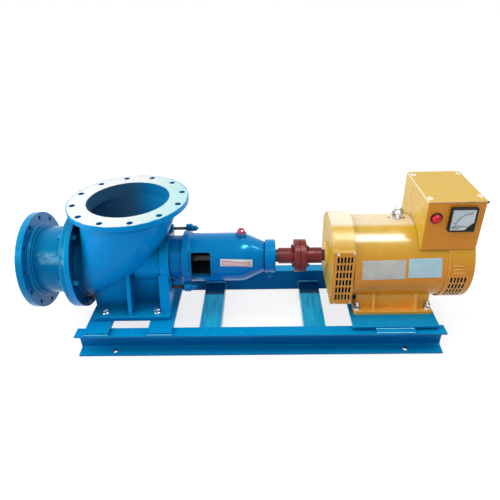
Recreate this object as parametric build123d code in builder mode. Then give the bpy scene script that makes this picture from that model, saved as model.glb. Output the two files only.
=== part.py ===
from build123d import *
import os

os.makedirs("parts", exist_ok=True)

# Lengths are in millimetres. X runs along the shaft to the generator, Y to the back, Z up from the ground.
SHAFT_Z = 300.0
RUNNING_GAP = 0.3
SEAT_GAP = 0.3
CLEAR_GAP = 6.0

# Skid of two rolled channels with their flanges outward, tied by two smaller channels
SKID_LENGTH = 1390.0
SKID_WIDTH = 470.0
BEAM_H = 100.0
BEAM_B = 48.0
BEAM_WEB = 5.3
BEAM_FLANGE = 8.5
BEAM_ROOT_R = 7.0
TIE_H = 86.0
TIE_B = 43.0
TIE_WEB = 5.0
TIE_FLANGE = 8.0
TIE_ROOT_R = 5.0
TIE_LEFT_X = -195.0
TIE_RIGHT_X = 223.0
FLANGE_SLOPE = 0.1
ANCHOR_PITCH = 1116.0
ANCHOR_GAUGE = 28.0
ANCHOR_R = 9.0

# Pads and plates on the skid
PAD_LEFT_X = -611.0
PAD_RIGHT_X = -371.0
PAD_W = 94.0
PAD_T = 12.0
PAD_DEPTH = 460.0
SPACER_X = 508.0
SPACER_W = 144.0
SPACER_T = 8.0
PLATE_X = 511.0
PLATE_W = 318.0
PLATE_DEPTH = 430.0
PLATE_T = 10.0
PLATE_CORNER_R = 6.0

# Water way
OUTLET_X = -469.0
OUTLET_H = 256.0
OUTLET_BORE_R = 150.0
OUTLET_FLANGE_R = 220.0
OUTLET_FLANGE_T = 18.0
OUTLET_BOLT_CIRCLE_R = 197.5
OUTLET_HOLE_R = 11.0
CHAMBER_LENGTH = 177.0
INLET_BORE_R = 125.0
INLET_FLANGE_R = 187.5
INLET_FLANGE_T = 24.0
INLET_BOLT_CIRCLE_R = 167.5
INLET_HOLE_R = 9.0
FLANGE_HOLES = 12
JOINT_X = -689.0
JOINT_FLANGE_T = 18.0
JOINT_BOLTS = 6
JOINT_BOLT_CIRCLE_R = 164.0
JOINT_HOLE_R = 8.0
CHAMBER_R = 131.0
CHAMBER_HUB_R = 147.0
CHAMBER_HUB_T = 8.0

# Bend casting
BEND_IN_X = -650.0
BEND_IN_R = 141.0
BEND_MID_X = -549.0
BEND_MID_H = 84.0
BEND_MID_R = 150.0
BEND_OUT_H = 205.0
BEND_OUT_R = 172.0
BEND_WALL = 16.0
CAST_R = 10.0

# Stuffing box end of the casting and its foot
BOX_HUB_R = 87.0
BOX_HUB_X = -470.0
REAR_FLANGE_R = 97.0
REAR_FLANGE_X = -368.0
REAR_FLANGE_T = 34.0
FOOT_LEFT_X = -641.0
FOOT_RIGHT_X = -341.0
FOOT_DEPTH = 320.0
FOOT_T = 18.0
FOOT_CORNER_R = 10.0
FOOT_BOLT_LEFT_X = -597.0
FOOT_BOLT_RIGHT_X = -394.0
FOOT_BOLT_DEPTH = 256.0
FOOT_BOLT_R = 9.0
FOOT_WALL_HALF = 92.0
FOOT_WALL_H = 90.0
FOOT_STEM_HALF = 62.0
FOOT_RIB_X = -494.0
FOOT_RIB_T = 14.0
FOOT_RIB_BASE_HALF = 152.0
FOOT_RIB_TOP_HALF = 92.0
FOOT_RIB_TOP_H = 8.0
FOOT_END_T = 38.0
FOOT_END_HALF = 132.0
FOOT_END_TOP_HALF = 90.0
FOOT_END_DROP = 26.0

# Gland and bearing bracket
GLAND_NOSE_R = 44.0
GLAND_FLANGE_R = 66.0
GLAND_FLANGE_T = 12.0
GLAND_LENGTH = 36.0
BRACKET_SPIGOT_R = 86.0
BRACKET_FLANGE_X = -282.0
BRACKET_FLANGE_T = 23.0
BRACKET_FLANGE_R = 105.0
BRACKET_LUG_CIRCLE_R = 118.0
BRACKET_LUG_R = 18.0
BRACKET_LUGS = 2
BRACKET_LUG_ANGLE = 45.0
BRACKET_STUD_R = 7.0
BRACKET_BODY_R = 94.0
BRACKET_NECK_R = 6.0
LANTERN_R = 73.0
BRACKET_TAPER_X = -70.0
BRACKET_WAIST_X = -26.0
BRACKET_WAIST_R = 81.0
BRACKET_END_X = 29.0
BRACKET_END_R = 56.0
BRACKET_END_SLOPE = 0.5
LANTERN_END_X = -170.0
WINDOW_LEFT_X = -250.0
WINDOW_W = 74.0
WINDOW_DROP = 38.0
WINDOW_H = 100.0
WINDOW_CORNER_R = 8.0
COVER_END_X = 69.0
COVER_R = 65.0
COVER_CHAMFER = 4.0
OIL_CAP_X = -61.0
OIL_BOSS_R = 20.0
OIL_BOSS_TOP = 104.0
OIL_CAP_R = 13.0
OIL_CAP_H = 17.0
OIL_CAP_CHAMFER = 3.0

# Turning line
SHAFT_R = 25.0
SHAFT_SLEEVE_R = 29.0
SLEEVE_LEFT_X = -430.0
SLEEVE_RIGHT_X = -235.0
RUNNER_X = -765.0
RUNNER_TIP_R = 119.0
HUB_R = 46.0
HUB_NOSE_X = -822.0
HUB_NOSE_FLAT_R = 14.0
HUB_TAIL_X = -715.0
BLADES = 4
BLADE_ROOT_R = 38.0
BLADE_ROOT_CHORD = 72.0
BLADE_ROOT_ANGLE = 52.0
BLADE_ROOT_T = 11.0
BLADE_TIP_CHORD = 104.0
BLADE_TIP_ANGLE = 24.0
BLADE_TIP_T = 6.0
BLADE_TRIM = 8.0
COUPLING_LEFT_X = 80.0
COUPLING_DISC_X = 140.0
COUPLING_SPLIT_X = 162.5
COUPLING_BUFFER_T = 2.5
COUPLING_DISC_END_X = 187.5
COUPLING_RIGHT_X = 248.0
COUPLING_HUB_R = 31.0
COUPLING_DISC_R = 64.0
COUPLING_CHAMFER = 2.5
BUFFER_R = 60.0
GEN_SHAFT_R = 22.0
SHAFT_END_GAP = 2.0
FAN_HUB_R = 40.0
FAN_R = 104.0
FAN_PLATE_T = 5.0
FAN_PLATE_X = 334.0
FAN_BLADES = 10
FAN_BLADE_W = 36.0
FAN_BLADE_T = 4.0
FAN_BLADE_IN_R = 52.0

# Generator
STATOR_R = 157.0
STATOR_LEFT_X = 350.0
STATOR_RIGHT_X = 690.0
GEN_FOOT_LEFT_X = 366.0
GEN_FOOT_RIGHT_X = 662.0
GEN_FOOT_INSET = 11.0
GEN_FOOT_W = 86.0
GEN_FOOT_T = 14.0
GEN_FOOT_CORNER_R = 8.0
GEN_WALL_T = 14.0
GEN_WALL_TUCK = 45.0
GEN_WALL_BITE = 9.8
GEN_WALL_INSET = 10.0
GEN_RIB_LEFT_X = 439.0
GEN_RIB_RIGHT_X = 598.0
GEN_RIB_T = 12.0
GEN_RIB_PROUD = 2.0
GEN_RIB_EDGE = 6.0
GEN_BOLT_LEFT_X = 379.0
GEN_BOLT_RIGHT_X = 646.0
GEN_BOLT_EDGE = 23.0
GEN_BOLT_R = 7.0
BELL_LEFT_X = 270.0
BELL_STEP = 14.0
BELL_TUCK = 7.0
BELL_TOP_H = 102.0
BELL_DROP = 124.0
BELL_WALL = 9.0
GRILLE_LEFT_X = 279.0
GRILLE_W = 70.0
GRILLE_DROP = 121.0
GRILLE_H = 226.0
GRILLE_T = 4.0
GRILLE_BORDER = 7.0
SLOT_COLUMNS = 5
SLOT_ROWS = 6
SLOT_W = 7.5
SLOT_H = 25.0
SLOT_PITCH_X = 12.0
SLOT_SHIFT = 1.5
SLOT_PITCH_Z = 32.5
CAP_LEFT_X = 258.0
CAP_R = 52.0
CAP_CHAMFER = 3.0
REAR_BELL_STEP = 5.5
REAR_BELL_LENGTH = 81.0
REAR_BELL_WALL = 4.5
REAR_BELL_LAP = 10.0
REAR_SLOT_STEP_X = 31.0
REAR_SLOT_PITCH_X = 12.2
REAR_SLOT_LOW_ANGLE = 5.0
REAR_SLOT_PITCH_ANGLE = 11.0
REAR_SLOT_ROWS = 4
REAR_COVER_T = 4.0
REAR_COVER_R = 150.0
REAR_COVER_EDGE = 1.5
EYE_X = 519.0
EYE_BOSS_R = 17.0
EYE_BOSS_H = 2.0
EYE_COLLAR_R = 14.0
EYE_COLLAR_T = 6.0
EYE_RING_R = 16.0
EYE_WIRE_R = 6.0

# Terminal box with its instruments
BOX_OVERHANG = 79.0
BOX_W = 195.0
BOX_DEPTH = 268.0
BOX_TOP_H = 285.0
BOX_LOW_H = 100.0
BOX_WALL = 3.0
BOX_CORNER_R = 4.0
LID_T = 4.0
METER_EDGE = 74.0
METER_H = 222.0
METER_SIZE = 88.0
METER_T = 14.0
METER_RIM = 5.0
METER_RECESS = 8.0
METER_CORNER_R = 3.0
DIAL_T = 2.0
LAMP_EDGE = 35.0
LAMP_H = 225.0
LAMP_R = 16.0
LAMP_COLLAR_T = 5.0
LAMP_DOME = 14.0

# Heights and places that follow from the sizes above
OUTLET_Z = SHAFT_Z + OUTLET_H
OUTLET_UNDER_Z = OUTLET_Z - OUTLET_FLANGE_T
BEND_MID_Z = SHAFT_Z + BEND_MID_H
BEND_OUT_Z = SHAFT_Z + BEND_OUT_H
FOOT_RIB_TOP_Z = SHAFT_Z + FOOT_RIB_TOP_H
FOOT_END_TOP_Z = SHAFT_Z - FOOT_END_DROP
WINDOW_LOW_Z = SHAFT_Z - WINDOW_DROP
BELL_TOP_Z = SHAFT_Z + BELL_TOP_H
BELL_LOW_Z = SHAFT_Z - BELL_DROP
GRILLE_LOW_Z = SHAFT_Z - GRILLE_DROP
BOX_TOP_Z = SHAFT_Z + BOX_TOP_H
BOX_LOW_Z = SHAFT_Z + BOX_LOW_H
METER_Z = SHAFT_Z + METER_H
LAMP_Z = SHAFT_Z + LAMP_H
BELL_HALF = STATOR_R - BELL_TUCK
BELL_R = STATOR_R + BELL_STEP
REAR_BELL_R = STATOR_R + REAR_BELL_STEP
GEN_FOOT_DEPTH = 2 * (STATOR_R - GEN_FOOT_INSET)
GEN_BOLT_DEPTH = GEN_FOOT_DEPTH - 2 * GEN_BOLT_EDGE
GEN_WALL_OUT = STATOR_R - GEN_WALL_TUCK
GEN_WALL_TOP_Z = SHAFT_Z - (STATOR_R**2 - GEN_WALL_OUT**2) ** 0.5 + GEN_WALL_BITE
GEN_RIB_TOP_Z = GEN_WALL_TOP_Z + GEN_RIB_PROUD
BEAM_INNER_Y = SKID_WIDTH / 2 - BEAM_B
PAD_TOP_Z = BEAM_H + PAD_T
FOOT_TOP_Z = PAD_TOP_Z + FOOT_T
SPACER_TOP_Z = BEAM_H + SPACER_T
PLATE_TOP_Z = SPACER_TOP_Z + PLATE_T
GEN_FOOT_TOP_Z = PLATE_TOP_Z + GEN_FOOT_T
HALF_PITCH = 180.0 / FLANGE_HOLES
FOOT_MID_X = (FOOT_LEFT_X + FOOT_RIGHT_X) / 2
REAR_BELL_END_X = STATOR_RIGHT_X + REAR_BELL_LENGTH
REAR_SLOT_X = STATOR_RIGHT_X + REAR_SLOT_STEP_X
INLET_X = JOINT_X - CHAMBER_LENGTH
JOINT_BACK_X = JOINT_X + JOINT_FLANGE_T
JOINT_FRONT_X = JOINT_X - JOINT_FLANGE_T
REAR_FACE_X = REAR_FLANGE_X + REAR_FLANGE_T
BRACKET_NECK_X = BRACKET_FLANGE_X + BRACKET_FLANGE_T
GEN_FOOT_MID_X = (GEN_FOOT_LEFT_X + GEN_FOOT_RIGHT_X) / 2
EYE_SEAT_Z = SHAFT_Z + STATOR_R + EYE_BOSS_H
BOX_RIM_Z = BOX_TOP_Z - LID_T
BOX_RIGHT_X = STATOR_RIGHT_X + BOX_OVERHANG
BOX_LEFT_X = BOX_RIGHT_X - BOX_W
BOX_MID_X = BOX_RIGHT_X - BOX_W / 2
METER_X = BOX_RIGHT_X - METER_EDGE
LAMP_X = BOX_LEFT_X + LAMP_EDGE
GRILLE_MID_X = GRILLE_LEFT_X + GRILLE_W / 2
SLOT_MID_X = GRILLE_MID_X - SLOT_SHIFT
GRILLE_MID_Z = GRILLE_LOW_Z + GRILLE_H / 2

SHAFT_AXIS = Axis((0, 0, SHAFT_Z), (1, 0, 0))
OUTLET_AXIS = Axis((OUTLET_X, 0, 0), (0, 0, 1))
SHAFT_PLANE = Plane(origin=(0, 0, SHAFT_Z), x_dir=(1, 0, 0), z_dir=(0, -1, 0))
BOX_FRONT = Plane(origin=(0, -BOX_DEPTH / 2, 0), x_dir=(1, 0, 0), z_dir=(0, -1, 0))


def across_shaft(x):
    """Plane square to the shaft at x, centred on the shaft line."""
    return Plane(origin=(x, 0, SHAFT_Z), x_dir=(0, 1, 0), z_dir=(1, 0, 0))


def bend_planes():
    """Planes of the bend sections, from the chamber joint round to the outlet."""
    return (
        across_shaft(BEND_IN_X),
        Plane(origin=(BEND_MID_X, 0, BEND_MID_Z), x_dir=(0, 1, 0), z_dir=(1, 0, 1)),
        Plane(origin=(OUTLET_X, 0, BEND_OUT_Z), x_dir=(0, 1, 0), z_dir=(0, 0, 1)),
    )


def channel_outline(height, flange, web, thick, root):
    """Rolled channel section with its back on the local y axis and sloping flanges along x."""
    slope = FLANGE_SLOPE * (flange - web) / 2
    with BuildSketch() as outline:
        with BuildLine():
            Polyline(
                (0, 0),
                (flange, 0),
                (flange, thick - slope),
                (web, thick + slope),
                (web, height - thick - slope),
                (flange, height - thick + slope),
                (flange, height),
                (0, height),
                close=True,
            )
        make_face()
        fillet(outline.vertices().filter_by_position(Axis.X, web, web), root)
    return outline.sketch


def save(piece, name):
    """Name a finished piece and write its file."""
    piece.part.label = name
    export_step(piece.part, f"parts/{name}.step")


# Skid
with BuildPart() as front_beam:
    with BuildSketch(Plane(origin=(0, -BEAM_INNER_Y, 0), x_dir=(0, -1, 0), z_dir=(-1, 0, 0))):
        add(channel_outline(BEAM_H, BEAM_B, BEAM_WEB, BEAM_FLANGE, BEAM_ROOT_R))
    extrude(amount=SKID_LENGTH / 2, both=True)
    with BuildSketch(Plane.XY):
        with Locations((0, -BEAM_INNER_Y - ANCHOR_GAUGE)):
            with GridLocations(ANCHOR_PITCH, 0, 2, 1):
                Circle(ANCHOR_R)
    extrude(amount=BEAM_H / 2, mode=Mode.SUBTRACT)
save(front_beam, "front_beam")

with BuildPart() as rear_beam:
    mirror(front_beam.part, about=Plane.XZ)
save(rear_beam, "rear_beam")

with BuildPart() as left_tie:
    with BuildSketch(Plane(origin=(TIE_LEFT_X - TIE_H / 2, 0, TIE_B), x_dir=(0, 0, -1), z_dir=(0, -1, 0))):
        add(channel_outline(TIE_H, TIE_B, TIE_WEB, TIE_FLANGE, TIE_ROOT_R))
    extrude(amount=BEAM_INNER_Y, both=True)
save(left_tie, "left_tie")

with BuildPart() as right_tie:
    with Locations((TIE_RIGHT_X - TIE_LEFT_X, 0, 0)):
        add(left_tie.part)
save(right_tie, "right_tie")

with BuildPart() as left_pad:
    with BuildSketch(Plane.XY.offset(BEAM_H)):
        with Locations((PAD_LEFT_X, 0)):
            Rectangle(PAD_W, PAD_DEPTH)
    extrude(amount=PAD_T)
save(left_pad, "left_pad")

with BuildPart() as right_pad:
    with Locations((PAD_RIGHT_X - PAD_LEFT_X, 0, 0)):
        add(left_pad.part)
save(right_pad, "right_pad")

with BuildPart() as spacer_bar:
    with BuildSketch(Plane.XY.offset(BEAM_H)):
        with Locations((SPACER_X, 0)):
            Rectangle(SPACER_W, PAD_DEPTH)
    extrude(amount=SPACER_T)
save(spacer_bar, "spacer_bar")

with BuildPart() as base_plate:
    with BuildSketch(Plane.XY.offset(SPACER_TOP_Z)):
        with Locations((PLATE_X, 0)):
            RectangleRounded(PLATE_W, PLATE_DEPTH, PLATE_CORNER_R)
    extrude(amount=PLATE_T)
save(base_plate, "base_plate")

# Bend casing: lofted diverging bend, flanges, stuffing box hub and foot in one casting
with BuildPart() as bend_casing:
    for plane, radius in zip(bend_planes(), (BEND_IN_R, BEND_MID_R, BEND_OUT_R)):
        with BuildSketch(plane):
            Circle(radius)
    loft()
    with BuildSketch(Plane.XZ) as outlet_half:
        with BuildLine():
            Polyline(
                (OUTLET_X, BEND_OUT_Z),
                (OUTLET_X + BEND_OUT_R, BEND_OUT_Z),
                (OUTLET_X + BEND_OUT_R, OUTLET_UNDER_Z),
                (OUTLET_X + OUTLET_FLANGE_R, OUTLET_UNDER_Z),
                (OUTLET_X + OUTLET_FLANGE_R, OUTLET_Z),
                (OUTLET_X, OUTLET_Z),
                close=True,
            )
        make_face()
        neck = outlet_half.vertices().sort_by_distance((OUTLET_X + BEND_OUT_R, OUTLET_UNDER_Z))[0]
        fillet(neck, CAST_R)
    revolve(axis=OUTLET_AXIS)
    with BuildSketch(SHAFT_PLANE) as joint_half:
        with BuildLine():
            Polyline(
                (JOINT_X, 0),
                (JOINT_X, INLET_FLANGE_R),
                (JOINT_BACK_X, INLET_FLANGE_R),
                (JOINT_BACK_X, BEND_IN_R),
                (BEND_IN_X, BEND_IN_R),
                (BEND_IN_X, 0),
                close=True,
            )
        make_face()
        fillet(joint_half.vertices().sort_by_distance((JOINT_BACK_X, BEND_IN_R))[0], CAST_R)
    revolve(axis=SHAFT_AXIS)
    with BuildSketch(SHAFT_PLANE):
        with BuildLine():
            Polyline(
                (BOX_HUB_X, 0),
                (BOX_HUB_X, BOX_HUB_R),
                (REAR_FLANGE_X, BOX_HUB_R),
                (REAR_FLANGE_X, REAR_FLANGE_R),
                (REAR_FACE_X, REAR_FLANGE_R),
                (REAR_FACE_X, 0),
                close=True,
            )
        make_face()
    revolve(axis=SHAFT_AXIS)
    with BuildSketch(across_shaft(REAR_FLANGE_X)):
        SlotCenterToCenter(2 * BRACKET_LUG_CIRCLE_R, 2 * BRACKET_LUG_R, rotation=BRACKET_LUG_ANGLE)
    extrude(amount=REAR_FLANGE_T)
    with BuildSketch(Plane.XY.offset(PAD_TOP_Z)):
        with Locations((FOOT_MID_X, 0)):
            RectangleRounded(FOOT_RIGHT_X - FOOT_LEFT_X, FOOT_DEPTH, FOOT_CORNER_R)
    extrude(amount=FOOT_T)
    with BuildSketch(Plane.XZ):
        with BuildLine():
            Polyline(
                (FOOT_LEFT_X, FOOT_TOP_Z),
                (FOOT_RIB_X, FOOT_TOP_Z),
                (FOOT_RIB_X, SHAFT_Z),
                (FOOT_LEFT_X, FOOT_TOP_Z + FOOT_WALL_H),
                close=True,
            )
        make_face()
    extrude(amount=FOOT_WALL_HALF, both=True)
    with BuildSketch(Plane.XZ):
        with BuildLine():
            Polyline(
                (FOOT_RIB_X, FOOT_TOP_Z),
                (FOOT_RIGHT_X, FOOT_TOP_Z),
                (FOOT_RIGHT_X, SHAFT_Z),
                (FOOT_RIB_X, SHAFT_Z),
                close=True,
            )
        make_face()
    extrude(amount=FOOT_STEM_HALF, both=True)
    with BuildSketch(across_shaft(FOOT_RIB_X)):
        with BuildLine():
            Polyline(
                (-FOOT_RIB_BASE_HALF, FOOT_TOP_Z - SHAFT_Z),
                (FOOT_RIB_BASE_HALF, FOOT_TOP_Z - SHAFT_Z),
                (FOOT_RIB_TOP_HALF, FOOT_RIB_TOP_Z - SHAFT_Z),
                (-FOOT_RIB_TOP_HALF, FOOT_RIB_TOP_Z - SHAFT_Z),
                close=True,
            )
        make_face()
    extrude(amount=FOOT_RIB_T / 2, both=True)
    with BuildSketch(across_shaft(FOOT_RIGHT_X)):
        with BuildLine():
            Polyline(
                (-FOOT_END_HALF, FOOT_TOP_Z - SHAFT_Z),
                (FOOT_END_HALF, FOOT_TOP_Z - SHAFT_Z),
                (FOOT_END_TOP_HALF, FOOT_END_TOP_Z - SHAFT_Z),
                (-FOOT_END_TOP_HALF, FOOT_END_TOP_Z - SHAFT_Z),
                close=True,
            )
        make_face()
    extrude(amount=-FOOT_END_T)
    # Water passage
    for plane, radius in zip(bend_planes(), (INLET_BORE_R, BEND_MID_R - BEND_WALL, OUTLET_BORE_R)):
        with BuildSketch(plane):
            Circle(radius)
    loft(mode=Mode.SUBTRACT)
    with BuildSketch(across_shaft(JOINT_X)):
        Circle(INLET_BORE_R)
    extrude(amount=BEND_IN_X - JOINT_X, mode=Mode.SUBTRACT)
    with BuildSketch(Plane.XY.offset(OUTLET_Z)):
        with Locations((OUTLET_X, 0)):
            Circle(OUTLET_BORE_R)
    extrude(amount=BEND_OUT_Z - OUTLET_Z, mode=Mode.SUBTRACT)
    # Shaft passage and bolt holes
    with BuildSketch(across_shaft(REAR_FACE_X)):
        Circle(SHAFT_SLEEVE_R + CLEAR_GAP)
    extrude(amount=BOX_HUB_X - REAR_FACE_X, mode=Mode.SUBTRACT)
    with BuildSketch(Plane.XY.offset(OUTLET_Z)):
        with Locations((OUTLET_X, 0)):
            with PolarLocations(OUTLET_BOLT_CIRCLE_R, FLANGE_HOLES, start_angle=HALF_PITCH):
                Circle(OUTLET_HOLE_R)
    extrude(amount=-OUTLET_FLANGE_T, mode=Mode.SUBTRACT)
    with BuildSketch(across_shaft(JOINT_X)):
        with PolarLocations(JOINT_BOLT_CIRCLE_R, JOINT_BOLTS):
            Circle(JOINT_HOLE_R)
    extrude(amount=JOINT_FLANGE_T, mode=Mode.SUBTRACT)
    with BuildSketch(Plane.XY.offset(PAD_TOP_Z)):
        with Locations(((FOOT_BOLT_LEFT_X + FOOT_BOLT_RIGHT_X) / 2, 0)):
            with GridLocations(FOOT_BOLT_RIGHT_X - FOOT_BOLT_LEFT_X, FOOT_BOLT_DEPTH, 2, 2):
                Circle(FOOT_BOLT_R)
    extrude(amount=FOOT_T, mode=Mode.SUBTRACT)
save(bend_casing, "bend_casing")

with BuildPart() as runner_chamber:
    with BuildSketch(SHAFT_PLANE) as chamber_half:
        with BuildLine():
            Polyline(
                (INLET_X, INLET_BORE_R),
                (INLET_X, INLET_FLANGE_R),
                (INLET_X + INLET_FLANGE_T, INLET_FLANGE_R),
                (INLET_X + INLET_FLANGE_T, CHAMBER_HUB_R),
                (INLET_X + INLET_FLANGE_T + CHAMBER_HUB_T, CHAMBER_HUB_R - CHAMBER_HUB_T / 2),
                (INLET_X + INLET_FLANGE_T + CHAMBER_HUB_T, CHAMBER_R),
                (JOINT_FRONT_X, CHAMBER_R),
                (JOINT_FRONT_X, INLET_FLANGE_R),
                (JOINT_X, INLET_FLANGE_R),
                (JOINT_X, INLET_BORE_R),
                close=True,
            )
        make_face()
        fillet(chamber_half.vertices().sort_by_distance((JOINT_FRONT_X, CHAMBER_R))[0], CAST_R)
    revolve(axis=SHAFT_AXIS)
    with BuildSketch(across_shaft(INLET_X)):
        with PolarLocations(INLET_BOLT_CIRCLE_R, FLANGE_HOLES, start_angle=HALF_PITCH):
            Circle(INLET_HOLE_R)
    extrude(amount=INLET_FLANGE_T, mode=Mode.SUBTRACT)
    with BuildSketch(across_shaft(JOINT_X)):
        with PolarLocations(JOINT_BOLT_CIRCLE_R, JOINT_BOLTS):
            Circle(JOINT_HOLE_R)
    extrude(amount=-JOINT_FLANGE_T, mode=Mode.SUBTRACT)
save(runner_chamber, "runner_chamber")

with BuildPart() as packing_gland:
    with BuildSketch(SHAFT_PLANE):
        with BuildLine():
            Polyline(
                (REAR_FACE_X, SHAFT_SLEEVE_R + RUNNING_GAP),
                (REAR_FACE_X, GLAND_FLANGE_R),
                (REAR_FACE_X + GLAND_FLANGE_T, GLAND_FLANGE_R),
                (REAR_FACE_X + GLAND_FLANGE_T, GLAND_NOSE_R),
                (REAR_FACE_X + GLAND_LENGTH, GLAND_NOSE_R),
                (REAR_FACE_X + GLAND_LENGTH, SHAFT_SLEEVE_R + RUNNING_GAP),
                close=True,
            )
        make_face()
    revolve(axis=SHAFT_AXIS)
save(packing_gland, "packing_gland")

# Bearing bracket: open lantern round the gland, then a tapering bearing housing
with BuildPart() as bearing_bracket:
    with BuildSketch(SHAFT_PLANE):
        with BuildLine():
            shoulder = Spline(
                (BRACKET_TAPER_X, BRACKET_BODY_R),
                (BRACKET_WAIST_X, BRACKET_WAIST_R),
                (BRACKET_END_X, BRACKET_END_R),
                tangents=((1, 0), (1, -BRACKET_END_SLOPE)),
            )
            Polyline(
                shoulder @ 1,
                (BRACKET_END_X, 0),
                (REAR_FACE_X, 0),
                (REAR_FACE_X, BRACKET_SPIGOT_R),
                (BRACKET_FLANGE_X, BRACKET_SPIGOT_R),
                (BRACKET_FLANGE_X, BRACKET_FLANGE_R),
                (BRACKET_NECK_X, BRACKET_FLANGE_R),
                (BRACKET_NECK_X, BRACKET_BODY_R + BRACKET_NECK_R),
            )
            root = TangentArc(
                (BRACKET_NECK_X, BRACKET_BODY_R + BRACKET_NECK_R),
                (BRACKET_NECK_X + BRACKET_NECK_R, BRACKET_BODY_R),
                tangent=(0, -1),
            )
            Line(root @ 1, shoulder @ 0)
        make_face()
    revolve(axis=SHAFT_AXIS)
    with BuildSketch(across_shaft(BRACKET_FLANGE_X)):
        with PolarLocations(BRACKET_LUG_CIRCLE_R, BRACKET_LUGS, start_angle=BRACKET_LUG_ANGLE):
            Circle(BRACKET_LUG_R)
    extrude(amount=BRACKET_FLANGE_T)
    with BuildSketch(Plane.XY.offset(SHAFT_Z)):
        with Locations((OIL_CAP_X, 0)):
            Circle(OIL_BOSS_R)
    extrude(amount=OIL_BOSS_TOP)
    with BuildSketch(across_shaft(REAR_FACE_X)):
        Circle(LANTERN_R)
    extrude(amount=LANTERN_END_X - REAR_FACE_X, mode=Mode.SUBTRACT)
    with BuildSketch(across_shaft(LANTERN_END_X)):
        Circle(SHAFT_R + CLEAR_GAP)
    extrude(amount=BRACKET_END_X - LANTERN_END_X, mode=Mode.SUBTRACT)
    with BuildSketch(Plane.XZ):
        with Locations((WINDOW_LEFT_X + WINDOW_W / 2, WINDOW_LOW_Z + WINDOW_H / 2)):
            RectangleRounded(WINDOW_W, WINDOW_H, WINDOW_CORNER_R)
    extrude(amount=BRACKET_BODY_R, both=True, mode=Mode.SUBTRACT)
    with BuildSketch(across_shaft(BRACKET_FLANGE_X)):
        with PolarLocations(BRACKET_LUG_CIRCLE_R, BRACKET_LUGS, start_angle=BRACKET_LUG_ANGLE):
            Circle(BRACKET_STUD_R)
    extrude(amount=BRACKET_FLANGE_T, mode=Mode.SUBTRACT)
save(bearing_bracket, "bearing_bracket")

with BuildPart() as bearing_cover:
    with BuildSketch(SHAFT_PLANE):
        with BuildLine():
            Polyline(
                (BRACKET_END_X, SHAFT_R + RUNNING_GAP),
                (BRACKET_END_X, COVER_R),
                (COVER_END_X - COVER_CHAMFER, COVER_R),
                (COVER_END_X, COVER_R - COVER_CHAMFER),
                (COVER_END_X, SHAFT_R + RUNNING_GAP),
                close=True,
            )
        make_face()
    revolve(axis=SHAFT_AXIS)
save(bearing_cover, "bearing_cover")

with BuildPart() as oil_cap:
    with BuildSketch(Plane.XY.offset(SHAFT_Z + OIL_BOSS_TOP)):
        with Locations((OIL_CAP_X, 0)):
            Circle(OIL_CAP_R)
    extrude(amount=OIL_CAP_H)
    chamfer(oil_cap.faces().sort_by(Axis.Z)[-1].edges(), OIL_CAP_CHAMFER)
save(oil_cap, "oil_cap")

# Turning line
with BuildPart() as turbine_shaft:
    with BuildSketch(SHAFT_PLANE):
        with BuildLine():
            Polyline(
                (HUB_TAIL_X, 0),
                (HUB_TAIL_X, SHAFT_R),
                (SLEEVE_LEFT_X, SHAFT_R),
                (SLEEVE_LEFT_X, SHAFT_SLEEVE_R),
                (SLEEVE_RIGHT_X, SHAFT_SLEEVE_R),
                (SLEEVE_RIGHT_X, SHAFT_R),
                (COUPLING_LEFT_X, SHAFT_R),
                (COUPLING_LEFT_X, 0),
                close=True,
            )
        make_face()
    revolve(axis=SHAFT_AXIS)
save(turbine_shaft, "turbine_shaft")

# One twisted runner blade along the local x axis, lofted from a steep root to a flat tip
with BuildPart() as blade:
    for reach, chord, thick, angle in (
        (BLADE_ROOT_R, BLADE_ROOT_CHORD, BLADE_ROOT_T, BLADE_ROOT_ANGLE),
        (RUNNER_TIP_R + BLADE_TRIM, BLADE_TIP_CHORD, BLADE_TIP_T, BLADE_TIP_ANGLE),
    ):
        with BuildSketch(Plane.YZ.offset(reach).rotated((0, 0, angle))):
            with BuildLine():
                back = Spline((-chord / 2, 0), (0, thick / 2), (chord / 2, 0))
                Spline(back @ 1, (0, -thick / 2), back @ 0)
            make_face()
    loft()
    with BuildSketch(Plane.XZ):
        with Locations((RUNNER_TIP_R, 0)):
            Rectangle(BLADE_TIP_CHORD, BLADE_TIP_CHORD, align=(Align.MIN, Align.CENTER))
    revolve(axis=Axis.Z, mode=Mode.SUBTRACT)

with BuildPart() as runner:
    with Locations(across_shaft(RUNNER_X)):
        with PolarLocations(0, BLADES):
            add(blade.part)
    with BuildSketch(SHAFT_PLANE):
        with BuildLine():
            nose = Spline(
                (HUB_NOSE_X, HUB_NOSE_FLAT_R),
                (RUNNER_X, HUB_R),
                tangents=((0, 1), (1, 0)),
            )
            Polyline(
                nose @ 1,
                (HUB_TAIL_X, HUB_R),
                (HUB_TAIL_X, 0),
                (HUB_NOSE_X, 0),
                nose @ 0,
            )
        make_face()
    revolve(axis=SHAFT_AXIS)
save(runner, "runner")

with BuildPart() as turbine_coupling:
    with BuildSketch(SHAFT_PLANE):
        with BuildLine():
            Polyline(
                (COUPLING_LEFT_X, 0),
                (COUPLING_LEFT_X, COUPLING_HUB_R),
                (COUPLING_DISC_X, COUPLING_HUB_R),
                (COUPLING_DISC_X, COUPLING_DISC_R - COUPLING_CHAMFER),
                (COUPLING_DISC_X + COUPLING_CHAMFER, COUPLING_DISC_R),
                (COUPLING_SPLIT_X, COUPLING_DISC_R),
                (COUPLING_SPLIT_X, 0),
                close=True,
            )
        make_face()
    revolve(axis=SHAFT_AXIS)
save(turbine_coupling, "turbine_coupling")

with BuildPart() as coupling_buffer:
    with BuildSketch(across_shaft(COUPLING_SPLIT_X)):
        Circle(BUFFER_R)
    extrude(amount=COUPLING_BUFFER_T)
save(coupling_buffer, "coupling_buffer")

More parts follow.
